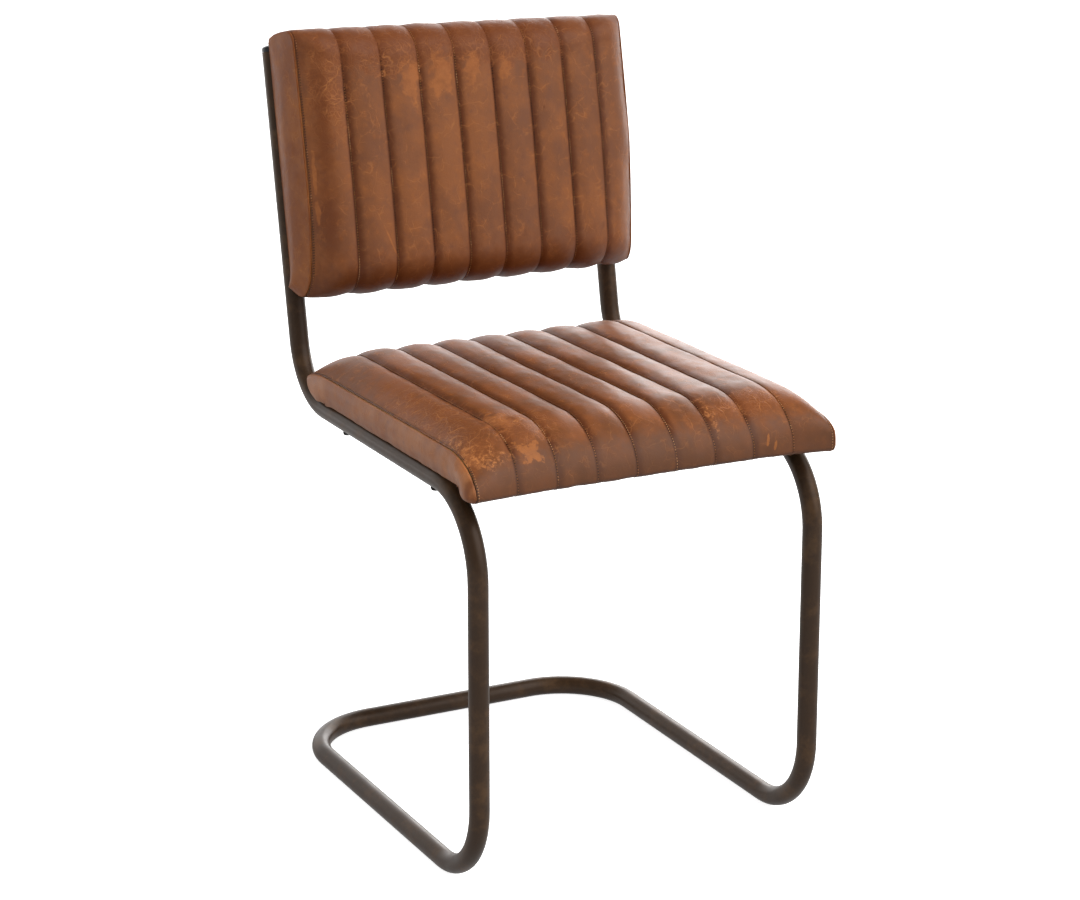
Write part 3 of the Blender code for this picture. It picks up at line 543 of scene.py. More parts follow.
def spunbond_lining():
    """Black spunbonded polypropylene: a thin matt cloth with a grid of weld dots."""
    return plain_finish("spunbond_lining", 0.9, ("#2b2b2d", "#19191a"), "Voronoi", 1.6,
                        {"Randomness": 0.0}, relief=0.15, edges=(0.2, 0.4))


# Meshes

def stand(name, data):
    """A new object in the scene."""
    made = bpy.data.objects.new(name, data)
    bpy.context.scene.collection.objects.link(made)
    return made


def piece(name, bm, slot, *finishes):
    """Makes the mesh an object that rides on the chair's one body."""
    mesh = bpy.data.meshes.new(name)
    bm.to_mesh(mesh)
    bm.free()
    mesh.shade_smooth()
    mesh.set_sharp_from_angle(angle=radians(40))
    for finish in finishes:
        mesh.materials.append(finish)
    made = stand(name, mesh)
    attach(made, "root")
    return made


def edges_at(verts):
    """The edges that meet at the points, each once and always in the same order."""
    return list(dict.fromkeys(edge for vert in verts for edge in vert.link_edges))


def swing(bm, edges, centre, axis, angle):
    """Bends the tube on: turns its open end about the bend's centre."""
    verts = list(dict.fromkeys(vert for edge in edges for vert in edge.verts))
    bent = bmesh.ops.spin(bm, geom=verts + edges, cent=centre, axis=axis, angle=angle,
                          steps=ceil(abs(angle) / BEND_STEP))
    return [edge for edge in bent["geom_last"] if isinstance(edge, bmesh.types.BMEdge)]


def run(bm, edges, vector):
    """Runs the tube straight on from its open end."""
    grown = bmesh.ops.extrude_edge_only(bm, edges=edges)["geom"]
    bmesh.ops.translate(bm, verts=[v for v in grown if isinstance(v, bmesh.types.BMVert)],
                        vec=vector)
    return [edge for edge in grown if isinstance(edge, bmesh.types.BMEdge)
            and all(vert in grown for vert in edge.verts)]


def bent_tube(finish):
    """The frame: one tube bent from the right upright's top to the left one's, open at its ends."""
    bm = bmesh.new()
    up = Vector((0, sin(BACK_RAKE), cos(BACK_RAKE)))
    top = Vector((-HALF_FRAME, RAIL_LENGTH, RAIL_HEIGHT)) + up * UPRIGHT_LENGTH
    upright = UPRIGHT_LENGTH - BACK_BEND_RADIUS * tan(UPRIGHT_TURN / 2)
    facing = Matrix.Rotation(-BACK_RAKE, 4, "X")
    ring = bmesh.ops.create_circle(bm, segments=TUBE_SIDES, radius=TUBE_RADIUS,
                                   matrix=Matrix.Translation(top) @ facing)["verts"]
    start = edges_at(ring)
    across = Vector((1, 0, 0))
    upward = Vector((0, 0, 1))
    leg = RAIL_HEIGHT - TUBE_FLAT - FLOOR_BEND_RADIUS - KNEE_BEND_RADIUS
    knee = (0, KNEE_BEND_RADIUS, RAIL_HEIGHT - KNEE_BEND_RADIUS)
    heel = (0, FLOOR_BEND_RADIUS, TUBE_FLAT + FLOOR_BEND_RADIUS)
    rear = (0, RAIL_STRAIGHT_END, RAIL_HEIGHT + BACK_BEND_RADIUS)
    rail = RAIL_STRAIGHT_END - KNEE_BEND_RADIUS
    floor_rail = FLOOR_RAIL_LENGTH - 2 * FLOOR_BEND_RADIUS
    corner_x, corner_y = HALF_FRAME - FLOOR_BEND_RADIUS, FLOOR_RAIL_LENGTH - FLOOR_BEND_RADIUS

    end = run(bm, start, -up * upright)
    for centre, axis, angle, onward in (
            (rear, across, -UPRIGHT_TURN, (0, -rail, 0)),
            (knee, across, pi / 2, (0, 0, -leg)),
            (heel, across, pi / 2, (0, floor_rail, 0)),
            ((-corner_x, corner_y, 0), upward, -pi / 2, (2 * corner_x, 0, 0)),
            ((corner_x, corner_y, 0), upward, -pi / 2, (0, -floor_rail, 0)),
            (heel, across, -pi / 2, (0, 0, leg)),
            (knee, across, -pi / 2, (0, rail, 0)),
            (rear, across, UPRIGHT_TURN, up * upright)):
        end = run(bm, swing(bm, end, centre, axis, angle), onward)
    caps = [bmesh.ops.edgeloop_fill(bm, edges=edges)["faces"][0] for edges in (start, end)]
    bmesh.ops.recalc_face_normals(bm, faces=bm.faces)
    bmesh.ops.inset_individual(bm, faces=caps, thickness=TUBE_WALL)
    for cap in caps:
        bore = bmesh.ops.extrude_discrete_faces(bm, faces=[cap])["faces"]
        bmesh.ops.translate(bm, verts=bore[0].verts, vec=-up * END_BORE)
    bmesh.ops.transform(bm, matrix=ON_CHAIR, verts=bm.verts)
    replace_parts(piece("bent_frame_tube", bm, "frame_steel", finish), "frame_tube")


def lobe(x, half_width, channels, height, crown):
    """How far the leather stands proud of its seams: a flat-crowned arch over each channel."""
    share = (x + half_width) * channels / (2 * half_width) % 1.0
    return height * (1 - abs(2 * share - 1) ** crown)


def bell(distance, reach):
    """1 at no distance, falling away to both sides in a bell curve."""
    return 2.72 ** -((distance / reach) ** 2)


def pinch(x, half_width, channels):
    """How deep the thread pulls the leather in beside a seam."""
    pitch = 2 * half_width / channels
    from_seam = abs((x + half_width + pitch / 2) % pitch - pitch / 2)
    return SEAM_PINCH * bell(from_seam, SEAM_PINCH_WIDTH)


def bow(centre_a, centre_b, radius_a, radius_b, start, end, steps, low=1.0, high=1.0, square=2.0):
    """Points along an elliptical arc, up to and not with its end, and the share of a lobe's
    height that each has. Its corner is fuller where it is square by more than 2."""
    found = []
    for i in range(steps):
        part = i / steps
        turn = radians(start + (end - start) * part)
        c, s = cos(turn), sin(turn)
        full = (abs(c) ** square + abs(s) ** square) ** (-1 / square)
        found.append((centre_a + radius_a * c * full, centre_b + radius_b * s * full,
                      low + (high - low) * part * part * (3 - 2 * part)))
    return found


def straight(start, end, steps, low=1.0, high=1.0):
    """Points along a line, up to and not with its end, and their shares of a lobe's height."""
    (a, b), (c, d) = start, end
    return [(a + (c - a) * i / steps, b + (d - b) * i / steps, low + (high - low) * i / steps)
            for i in range(steps)]


def proud(points, lift, sink):
    """A section's points moved out by their share of the lobe, and in by the seam's pinch."""
    last = len(points) - 1
    found = []
    for i, (a, b, share) in enumerate(points):
        before, after = points[max(i - 1, 0)], points[min(i + 1, last)]
        step = Vector((after[0] - before[0], after[1] - before[1])).normalized()
        out = lift * share - sink * min(share * 4, 1.0)
        found.append((a - step.y * out, b + step.x * out))
    return found


def seat_section(x, fineness=1, inset=0.0):
    """Points (y, z) of the seat's skin at x, from its front hem over the top to its rear hem."""
    side = min(abs(x) / SEAT_HALF_WIDTH, 1.0)
    if x > 0:
        shoulder = side ** SEAT_SHOULDER_POWER_LEFT
    else:
        shoulder = ease(side, SEAT_SHOULDER_START, 1.0) ** SEAT_SHOULDER_POWER_RIGHT
    top = SEAT_BOTTOM + SEAT_VALLEY_THICKNESS - SEAT_SHOULDER_DROP * shoulder
    rear_top = top - SEAT_REAR_FALL
    left = max(x / SEAT_HALF_WIDTH, 0.0) ** 6
    nose_y = (SEAT_NOSE_Y - SEAT_CORNER_REACH * side ** SEAT_CORNER_POWER
              - SEAT_CORNER_FORWARD * left)
    nose_z = SEAT_BOTTOM + SEAT_NOSE_HEIGHT
    nose_depth = SEAT_NOSE_DEPTH + SEAT_CORNER_DEPTH * left
    square = 2 + SEAT_CORNER_SQUARE * left
    front_y = nose_y + nose_depth
    rear_y = SEAT_REAR_Y - SEAT_REAR_DEPTH
    rear_z = SEAT_BOTTOM + SEAT_REAR_NOSE_HEIGHT
    foot = SEAT_BOTTOM + inset
    fold = (SEAT_BOARD_FRONT + SEAT_NOSE_RADIUS / 2, foot)
    chin = (nose_y + SEAT_NOSE_RADIUS, nose_z - SEAT_NOSE_DIP + inset)
    tuck = (SEAT_REAR_Y - SEAT_REAR_TUCK, foot)
    points = straight((SEAT_HEM_FRONT, foot), fold, 2, 0, 0)
    points += straight(fold, chin, 3 * fineness, 0, 0)
    points += bow(nose_y + SEAT_NOSE_RADIUS, nose_z, SEAT_NOSE_RADIUS - inset, nose_z - chin[1],
                  -90, -180, 6 * fineness, 0, 0.14)
    points += bow(front_y, nose_z, nose_depth - inset, top - nose_z - inset, 180, 90,
                  20 * fineness, 0.12, 1, square)
    points += straight((front_y, top - inset), (rear_y, rear_top - inset), 24 * fineness)
    points += bow(rear_y, rear_z, SEAT_REAR_DEPTH - inset, rear_top - rear_z - inset, 90, 0,
                  14 * fineness, 1, 0.8)
    points += bow(tuck[0], rear_z, SEAT_REAR_TUCK - inset, rear_z - foot, 0, -90,
                  8 * fineness, 0.8, 0)
    points += straight(tuck, (SEAT_HEM_REAR, foot), 3, 0, 0)
    lift = lobe(x, SEAT_HALF_WIDTH, SEAT_CHANNELS, SEAT_LOBE, SEAT_CROWN)
    last_seam = SEAT_HALF_WIDTH * (1 - 2 / SEAT_CHANNELS)
    lift += SEAT_LAST_SEAM_FILL * bell(x - last_seam, SEAT_LAST_SEAM_REACH)
    return proud(points + [(SEAT_HEM_REAR, foot, 0)], lift,
                 pinch(x, SEAT_HALF_WIDTH, SEAT_CHANNELS))


def ease(value, low, high):
    return min(max((value - low) / (high - low), 0.0), 1.0)


def seat_edge(z):
    """Half the seat's width at height z: the board's below, and drawn in to the seam above."""
    seam_z = SEAT_BOTTOM + SEAT_VALLEY_THICKNESS - SEAT_SHOULDER_DROP
    return SEAT_HALF_WIDTH + SEAT_BOARD_OVERLAP * (1 - ease(z, SEAT_BOARD_TOP, seam_z))


def back_edge(forward):
    """Half the back's width at a depth: the board's behind, and drawn in to the seam before."""
    seam = BACK_FRONT - BACK_SHOULDER_DROP
    return BACK_HALF_WIDTH + BACK_BOARD_OVERLAP * (1 - ease(forward, BACK_BOARD_FRONT, seam))


def back_tuck(x, forward, up, side):
    """How far the leather is drawn back at the lower part of a side seam, and higher up on the
    sitter's left."""
    share = 1 - ease(up, BACK_BOTTOM, BACK_BOTTOM + BACK_TUCK_HEIGHT)
    share = share ** (BACK_TUCK_POWER_LEFT if x > 0 else BACK_TUCK_POWER_RIGHT)
    seam = BACK_FRONT - BACK_SHOULDER_DROP
    return BACK_TUCK * side * share * ease(forward, BACK_BOARD_FRONT, seam)


def back_corner(x, forward):
    """How far the skin lies inside the square corner of the back's rear edge at its ends."""
    past = max(abs(x) - BACK_HALF_WIDTH + BACK_CORNER_RADIUS, 0.0)
    cut = BACK_CORNER_RADIUS - (BACK_CORNER_RADIUS ** 2 - past ** 2) ** 0.5
    left = 1 - ease(forward, BACK_BOARD_REAR, BACK_BOARD_REAR + BACK_CORNER_DEPTH)
    return cut * (1 - (1 - left ** 2) ** 0.5)


def back_fall(x, up):
    """How much lower the stuffing has settled: the back's top edge falls to the sitter's left."""
    return BACK_TOP_FALL * x / BACK_HALF_WIDTH * ease(up, BACK_BOTTOM, BACK_TOP)


def back_section(x, fineness=1, inset=0.0):
    """Points (forward, up) of the back's skin at x, from its top rear edge to its bottom one."""
    side = min(abs(x) / BACK_HALF_WIDTH, 1.0) ** BACK_SHOULDER_POWER
    front = BACK_FRONT - BACK_SHOULDER_DROP * side
    top_turn = 1 - BACK_TOP_TIGHTENING * side
    bottom_turn = 1 - BACK_BOTTOM_TIGHTENING * side
    low = BACK_BOTTOM + BACK_EDGE_HEIGHT * bottom_turn
    high = BACK_TOP - BACK_EDGE_HEIGHT * top_turn
    over, fore = 8 * fineness, 24 * fineness

    def edge_run(share, turn, full):
        """The top or bottom face, rising in a quarter wave from the straight rear edge."""
        shoulder = front - BACK_EDGE_DEPTH * turn
        return (BACK_BOARD_REAR + (shoulder - BACK_BOARD_REAR) * share,
                BACK_REAR_STEP * (sin(share * pi / 2) - 1) - inset, full * share)

    def edge_turn(level, turn, start, end, *shares):
        """The rounded top or bottom of the front."""
        return bow(front - BACK_EDGE_DEPTH * turn, level, BACK_EDGE_DEPTH * turn - inset,
                   BACK_EDGE_HEIGHT * turn - inset, start, end, 14 * fineness, *shares)

    points = [(forward, BACK_TOP + up, share)
              for forward, up, share in (edge_run(i / over, top_turn, 0.3) for i in range(over))]
    points += edge_turn(high, top_turn, 90, 0, 0.3, 1)
    points += [(front - inset + BACK_BOW * sin(pi * i / fore), high + (low - high) * i / fore, 1.0)
               for i in range(fore)]
    points += edge_turn(low, bottom_turn, 0, -90, 1, 0.7)
    points += [(forward, BACK_BOTTOM - up, share)
               for forward, up, share in (edge_run(1 - i / over, bottom_turn, 0.7)
                                          for i in range(over))]
    points += [(BACK_BOARD_REAR, BACK_BOTTOM + BACK_REAR_STEP + inset, 0)]
    lift = lobe(x, BACK_HALF_WIDTH, BACK_CHANNELS, BACK_LOBE, BACK_CROWN)
    middle = (BACK_TOP + BACK_BOTTOM) / 2
    found = []
    for forward, up in proud(points, lift, pinch(x, BACK_HALF_WIDTH, BACK_CHANNELS)):
        cut = back_corner(x, forward)
        found.append((forward - back_tuck(x, forward + inset, up, side),
                      up - cut if up > middle else up + cut))
    return found


def seat_point(x, y, z):
    return Vector((x / SEAT_HALF_WIDTH * seat_edge(z), y, z))


def back_point(x, forward, up):
    return Vector((x / BACK_HALF_WIDTH * back_edge(forward), -forward, up - back_fall(x, up)))


def stations(half_width, channels, steps):
    """Places across the cushion, closer together beside each seam."""
    pitch = 2 * half_width / channels
    found = [-half_width + pitch * (channel + (1 - cos(pi * i / steps)) / 2)
             for channel in range(channels) for i in range(steps)]
    return found + [half_width]


def lengths_along(points):
    """The distance of each point from the first, along the line of points."""
    found = [0.0]
    for near, far in zip(points, points[1:]):
        found.append(found[-1] + (far - near).length)
    return found


def ripples(spot, reach, along, across):
    """Slow uneven waves in the skin, longer along one axis than across it."""
    scaled = Vector((spot.x / across, spot.y / along, spot.z / along))
    return reach * (noise.noise(scaled) + 0.5 * noise.noise(scaled * 2.7))


def leather_piece(name, node, lines, widths, onto, outward, wave, finish):
    """A skin through the lines of points, in waves, with a UV map of its flat size in metres. It
    faces outwards, gets its thickness inwards and replaces the part's node."""
    columns, rows = len(lines) - 1, len(lines[0]) - 1
    bm = bmesh.new()
    bmesh.ops.create_grid(bm, x_segments=columns, y_segments=rows, size=1.0)
    uv = bm.loops.layers.uv.new("hide")
    spans = [lengths_along(line) for line in lines]
    for vert in bm.verts:
        column = round((vert.co.x + 1) / 2 * columns)
        row = round((vert.co.y + 1) / 2 * rows)
        vert.co = lines[column][row]
        for loop in vert.link_loops:
            loop[uv].uv = widths[column], spans[column][row]
    bmesh.ops.recalc_face_normals(bm, faces=bm.faces)
    bm.normal_update()
    moves = [(vert, vert.normal * wave(vert.co)) for vert in bm.verts if not vert.is_boundary]
    for vert, move in moves:
        vert.co += move
    bmesh.ops.transform(bm, matrix=onto, verts=bm.verts)
    bm.normal_update()
    middle = sum((face.normal * face.calc_area() for face in bm.faces), Vector())
    if middle.dot(Vector(outward)) < 0:
        bmesh.ops.reverse_faces(bm, faces=bm.faces)
    made = piece(name, bm, "leather", finish)
    wall = made.modifiers.new("leather thickness", "SOLIDIFY")
    wall.thickness = LEATHER
    wall.offset = -1.0
    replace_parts(made, node)
    return made


# Each cushion: half its width, its channels, its points and section, and where it stands
SEAT = (SEAT_HALF_WIDTH, SEAT_CHANNELS, seat_point, seat_section, ON_CHAIR)
BACK = (BACK_HALF_WIDTH, BACK_CHANNELS, back_point, back_section, ON_BACK)


def seat_wave(spot):
    side = 1 - (abs(spot.x) / SEAT_HALF_WIDTH) ** 8
    return ripples(spot, RIPPLE * max(side, 0.2), *SEAT_RIPPLES)


def back_wave(spot):
    return ripples(spot, RIPPLE, *BACK_RIPPLES)


def band_wave(place, reach, along, across):
    return lambda spot: reach * noise.noise(Vector((place, spot.y / along, spot.z / across)))


def skin_lines(point, section, places):
    """The lines of the skin from its first hem to its last, one at each place across."""
    return [[point(x, *spot) for spot in section(x, FINENESS)] for x in places]


def cover(name, node, cushion, outward, wave, finish):
    """A cushion's channelled leather."""
    half_width, channels, point, section, onto = cushion
    xs = stations(half_width, channels, LOBE_STEPS)
    lines = skin_lines(point, section, xs)
    made = leather_piece(name, node, lines, xs, onto, outward, wave, finish)


def seat_band(name, side, finish):
    """The D-shaped leather side: turned in under the board, round at its foot, sewn at its top."""
    # Without the points of the two hems
    outline = seat_section(side * SEAT_HALF_WIDTH, FINENESS)[8:-3]
    spans = lengths_along([Vector((0, y, z)) for y, z in outline])
    front, rear = SEAT_HEM_FRONT + GAP * 4, SEAT_HEM_REAR - GAP * 4
    foot_x = seat_edge(SEAT_BOTTOM) + GAP + LEATHER
    turn, rise = SEAT_BAND_TURN, SEAT_BAND_RISE
    lines = []
    for (y, z), span in zip(outline, spans):
        foot_y = front + (rear - front) * (span / spans[-1]) ** SEAT_BAND_FOOT_POWER
        chin = outline[0][0]
        nose = 1 - ease(y, chin - SEAT_NOSE_RADIUS, chin + SEAT_BAND_NOSE_REACH)
        line = [Vector((side * (foot_x - BAND_HEM), foot_y, SEAT_BOTTOM))]
        line += [Vector((side * (foot_x - turn + turn * sin(a)), foot_y,
                         SEAT_BOTTOM + min(turn * (1 - cos(a)), max(z - SEAT_BOTTOM, 0))))
                 for a in (0, pi / 8, pi / 4, 3 * pi / 8)]
        for i in range(1, rise + 1):
            share = i / rise
            height = SEAT_BOTTOM + turn + (z - SEAT_BOTTOM - turn) * share
            full = sin(pi * share ** 1.5)
            swell = (SEAT_BAND_SWELL + SEAT_BAND_NOSE_SWELL * nose) * full
            swell -= SEAM_PINCH * share ** 12
            line.append(Vector((side * (seat_edge(height) + GAP + LEATHER + swell),
                                foot_y + (y - foot_y) * share - SEAT_BAND_NOSE_PULL * nose * full,
                                height)))
        lines.append(line)

    leather_piece(name + "_leather", name, lines, spans, ON_CHAIR, (side, 0, 0),
                  band_wave(*SEAT_BAND_RIPPLES), finish)


def back_band(name, side, finish):
    """The leather side of the back, from the rear panel's edge to its seam with the front."""
    outline = back_section(side * BACK_HALF_WIDTH, FINENESS)
    spans = lengths_along([Vector((0, forward, up)) for forward, up in outline])
    low, high = outline[-1][1] + BACK_REAR_STEP, outline[0][1] - BACK_REAR_STEP
    full = BAND_PUFF_LEFT if side > 0 else BAND_PUFF_RIGHT
    rise = BACK_BAND_RISE
    lines = []
    for (forward, up), span in zip(outline, spans):
        foot_up = high + (low - high) * span / spans[-1]
        puff = full * (0.25 + 0.75 * ease(high - foot_up, *BACK_BAND_FILL))
        line = []
        for i in range(rise + 1):
            share = i / rise
            depth = BACK_BOARD_REAR + (forward - BACK_BOARD_REAR) * share
            fold = min(share / BAND_FOLD, (1 - share) / (1 - BAND_FOLD))
            swell = puff * (1.25 * fold - 0.25 * fold ** 4) - SEAM_PINCH * share ** 10
            height = foot_up + (up - foot_up) * share
            line.append(Vector((side * (back_edge(depth) + GAP + LEATHER + swell), -depth,
                                height - back_fall(side * BACK_HALF_WIDTH, height))))
        lines.append(line)

    leather_piece(name + "_leather", name, lines, spans, ON_BACK, (side, 0, 0),
                  band_wave(*BACK_BAND_RIPPLES), finish)


def loft(bm, loops):
    """Bridges the loops of edges one after another, and fills the first and the last."""
    for near, far in zip(loops, loops[1:]):
        bmesh.ops.bridge_loops(bm, edges=near + far)
    for ends in (loops[0], loops[-1]):
        bmesh.ops.edgeloop_fill(bm, edges=ends)
    bmesh.ops.recalc_face_normals(bm, faces=bm.faces)


def foam_core(name, node, cushion, outline, finish):
    """The foam under a cover: closed outlines across the cushion, lofted."""
    half_width, channels, point, _, onto = cushion
    bm = bmesh.new()
    loops = []
    for x in stations(half_width, channels, FOAM_LOBE_STEPS):
        gap = Vector((x / half_width * SOFT_GAP, 0, 0))
        verts = [bm.verts.new(point(x, *spot) - gap) for spot in outline(x)]
        loops.append([bm.edges.new((verts[i - 1], verts[i])) for i in range(len(verts))])
    loft(bm, loops)
    bmesh.ops.transform(bm, matrix=onto, verts=bm.verts)
    made = piece(name, bm, "foam", finish)
    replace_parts(made, node)


def seat_foam_outline(x):
    """The seat's foam at x: under the skin without its hems, and round the board."""
    low, top = SEAT_BOTTOM + SEAT_NOSE_HEIGHT, SEAT_BOARD_TOP + GAP
    front, rear = SEAT_BOARD_FRONT - GAP, SEAT_BOARD_REAR + GAP
    return seat_section(x, 1, LEATHER + SOFT_GAP)[6:-4] + [
        (rear, low), (rear, top), (front, top), (front, SEAT_BOTTOM + SEAT_NOSE_HEIGHT / 2)]


def back_foam_outline(x):
    """The back's foam at x: under the skin, and in front of the board."""
    skin = back_section(x, 1, LEATHER + SOFT_GAP)
    return [spot for spot in skin if spot[0] > BACK_BOARD_FRONT] + [
        (BACK_BOARD_FRONT + GAP, BACK_BOTTOM + BACK_BOARD_SETBACK),
        (BACK_BOARD_FRONT + GAP, BACK_TOP - BACK_BOARD_SETBACK)]


def rear_panel(finish):
    """The leather behind the back: pulled flat over the board, with turned round edges."""
    half = back_edge(BACK_BOARD_REAR) + GAP + LEATHER
    low, high = BACK_BOTTOM + BACK_REAR_STEP, BACK_TOP - BACK_REAR_STEP
    bm = bmesh.new()
    grid = Matrix.Translation((0, -BACK_REAR, (low + high) / 2)) @ Matrix.Rotation(pi / 2, 4, "X")
    bmesh.ops.create_grid(bm, x_segments=1, y_segments=1, size=1.0,
                          matrix=grid @ Matrix.Diagonal((half, (high - low) / 2, 1, 1)))
    bmesh.ops.bevel(bm, geom=bm.verts[:], offset=BACK_CORNER_RADIUS, segments=8, profile=0.5,
                    affect="VERTICES", material=-1)
    faces = bm.faces[:]
    grown = bmesh.ops.extrude_face_region(bm, geom=faces)["geom"]
    bmesh.ops.translate(bm, verts=[v for v in grown if isinstance(v, bmesh.types.BMVert)],
                        vec=(0, -LEATHER, 0))
    bmesh.ops.recalc_face_normals(bm, faces=bm.faces)
    outer = [edge for edge in bm.edges if all(abs(v.co.y + BACK_REAR) < 1e-6 for v in edge.verts)]
    bmesh.ops.bevel(bm, geom=outer, offset=LEATHER * 0.7, segments=3, profile=0.5, affect="EDGES",
                    material=-1)
    for vert in bm.verts:
        vert.co.z -= back_fall(vert.co.x, vert.co.z)
    bmesh.ops.transform(bm, matrix=ON_BACK, verts=bm.verts)
    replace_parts(piece("back_panel_leather", bm, "leather", finish), "back_rear_panel")


def stitch_spots(line, trim):
    """Places along a line of points, one stitch apart and between the needle's holes, each with
    the line's direction there. The line's first and last points, under the cushion, have none."""
    spans = lengths_along(line)
    spots, index = [], trim
    for i in range(int(spans[trim] / STITCH_PITCH) + 1, int(spans[-trim - 1] / STITCH_PITCH)):
        target = (i + 0.5) * STITCH_PITCH
        while spans[index + 1] < target:
            index += 1
        share = (target - spans[index]) / (spans[index + 1] - spans[index])
        step = line[index + 1] - line[index]
        spots.append((line[index] + step * share, step.normalized()))
    return spots


def thread_bead(name, material_index):
    """One stitch: a bead of thread at the origin, lying along Y."""
    bm = bmesh.new()
    size = Matrix.Diagonal((THREAD_WIDTH / 2, STITCH_LENGTH / 2, THREAD_WIDTH / 2, 1))
    bmesh.ops.create_uvsphere(bm, u_segments=6, v_segments=4, radius=1.0,
                              matrix=size @ Matrix.Rotation(pi / 2, 4, "X"))
    for face in bm.faces:
        face.material_index = material_index
        face.smooth = True
    bead = bpy.data.meshes.new(name)
    bm.to_mesh(bead)
    bm.free()
    return bead


def sew(name, cushion, trim, rubbed, *threads):
    """Lays a bead on each stitch, beside the seams between channels and along the two side seams,
    in the pale thread where it is rubbed."""
    half_width, channels, point, section, onto = cushion
    pitch = 2 * half_width / channels
    places = [-half_width + pitch * i + STITCH_BESIDE for i in range(1, channels)]
    places += [SIDE_STITCH_INSET - half_width, half_width - SIDE_STITCH_INSET]
    beads = [thread_bead("bead", index) for index in range(len(threads))]
    bm = bmesh.new()
    for seam in skin_lines(point, section, places):
        for spot, way in stitch_spots(seam, trim):
            out = Vector((1, 0, 0)).cross(way).normalized()
            turn = Matrix((way.cross(out), way, out)).transposed().to_4x4()
            stitch = beads[rubbed(spot)].copy()
            stitch.transform(onto @ Matrix.Translation(spot + out * THREAD_RISE) @ turn)
            bm.from_mesh(stitch)
            bpy.data.meshes.remove(stitch)
    for bead in beads:
        bpy.data.meshes.remove(bead)
    piece(name, bm, "leather", *threads)


def seat_thread_rubbed(spot):
    corner_x, corner_y = RUBBED_CORNER
    near_corner = spot.y < corner_y and abs(spot.x) > corner_x
    return near_corner or (spot.y < RUBBED_FRONT and noise.noise(spot * 70) > 0.05)


def back_thread_rubbed(spot):
    return noise.noise(spot * 60) > 0.28


def turned_piece(name, node, rings, place, slot, finish):
    """Lofts a stack of rings, each a height and a radius, or a radius for every turn, and puts it
    in its place instead of the part's node."""
    bm = bmesh.new()
    loops = []
    for height, radius in rings:
        made = bmesh.ops.create_circle(bm, segments=FASTENER_STEPS, radius=1.0)["verts"]
        for vert in made:
            reach = radius(atan2(vert.co.y, vert.co.x)) if callable(radius) else radius
            vert.co = (vert.co.x * reach, vert.co.y * reach, height)
        loops.append(edges_at(made))
    loft(bm, loops)
    bmesh.ops.transform(bm, matrix=place, verts=bm.verts)
    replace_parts(piece(name, bm, slot, finish), node)


def hexagon(turn):
    """The reach of a hexagonal socket's wall."""
    sixth = pi / 3
    return BOLT_SOCKET_WIDTH / 2 / cos((turn % sixth) - sixth / 2)


def cross_recess(turn):
    """The reach of a cross recess's wall."""
    c, s = abs(cos(turn)) + 1e-9, abs(sin(turn)) + 1e-9
    return max(min(RECESS_REACH / c, RECESS_WIDTH / 2 / s),
               min(RECESS_REACH / s, RECESS_WIDTH / 2 / c))


def seat_bolts(finish):
    top, shank = -BOLT_HEAD_HEIGHT, BOLT_SHANK_RADIUS
    for name in ("right_front", "left_front", "right_rear", "left_rear"):
        low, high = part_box("seat_bolt_" + name)
        length = high.z - low.z - BOLT_HEAD_HEIGHT
        rings = [(BOLT_SOCKET_DEPTH + top, hexagon), (top, hexagon)]
        rings += [(top * up, BOLT_HEAD_RADIUS * out) for up, out in BOLT_HEAD_PROFILE]
        rings += [(0, shank), (length - shank / 4, shank), (length, shank * 0.75)]
        middle = (low + high) / 2
        place = Matrix.Translation((middle.x, middle.y, low.z + BOLT_HEAD_HEIGHT))
        turned_piece("button_head_bolt_" + name, "seat_bolt_" + name, rings, place,
                     "fastener_steel", finish)


def back_screws(finish):
    top, shank = -SCREW_HEAD_HEIGHT, SCREW_SHANK_RADIUS
    length = BACK_BOARD_FRONT - SCREW_SHORT_OF_FOAM + BACK_REAR
    rings = [(RECESS_DEPTH + top, lambda turn: cross_recess(turn) * 0.7), (top, cross_recess)]
    rings += [(top * up, SCREW_HEAD_RADIUS * out) for up, out in SCREW_HEAD_PROFILE]
    rings += [(0, shank), (length - SCREW_POINT, shank), (length, shank * 0.08)]
    forward = ON_BACK @ Matrix.Rotation(pi / 2, 4, "X")
    for name in ("right_low", "left_low", "right_high", "left_high"):
        low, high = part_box("back_screw_" + name)
        middle = ON_BACK.inverted() @ ((low + high) / 2)
        place = forward @ Matrix.Translation((middle.x, middle.z, -BACK_REAR))
        turned_piece("pan_head_screw_" + name, "back_screw_" + name, rings, place,
                     "fastener_steel", finish)


def end_plugs(finish):
    stem, rim = TUBE_RADIUS - TUBE_WALL - GAP, TUBE_RADIUS
    rings = [(-PLUG_STEM_LENGTH, stem - TUBE_WALL / 2), (-PLUG_STEM_LENGTH + TUBE_WALL, stem),
             (GAP, stem), (GAP, rim - PLUG_EDGE / 2), (GAP + PLUG_EDGE / 2, rim),
             (PLUG_RIM_HEIGHT, rim)]
    rings += [(PLUG_RIM_HEIGHT + PLUG_DOME_HEIGHT * sin(radians(a)), rim * cos(radians(a)))
              for a in range(8, 89, 8)]
    for side, x in (("right", -HALF_FRAME), ("left", HALF_FRAME)):
        place = ON_BACK @ Matrix.Translation((x, 0, UPRIGHT_LENGTH))
        turned_piece("domed_plug_" + side, "end_plug_" + side, rings, place, "black_plastic",
                     finish)


# Studio

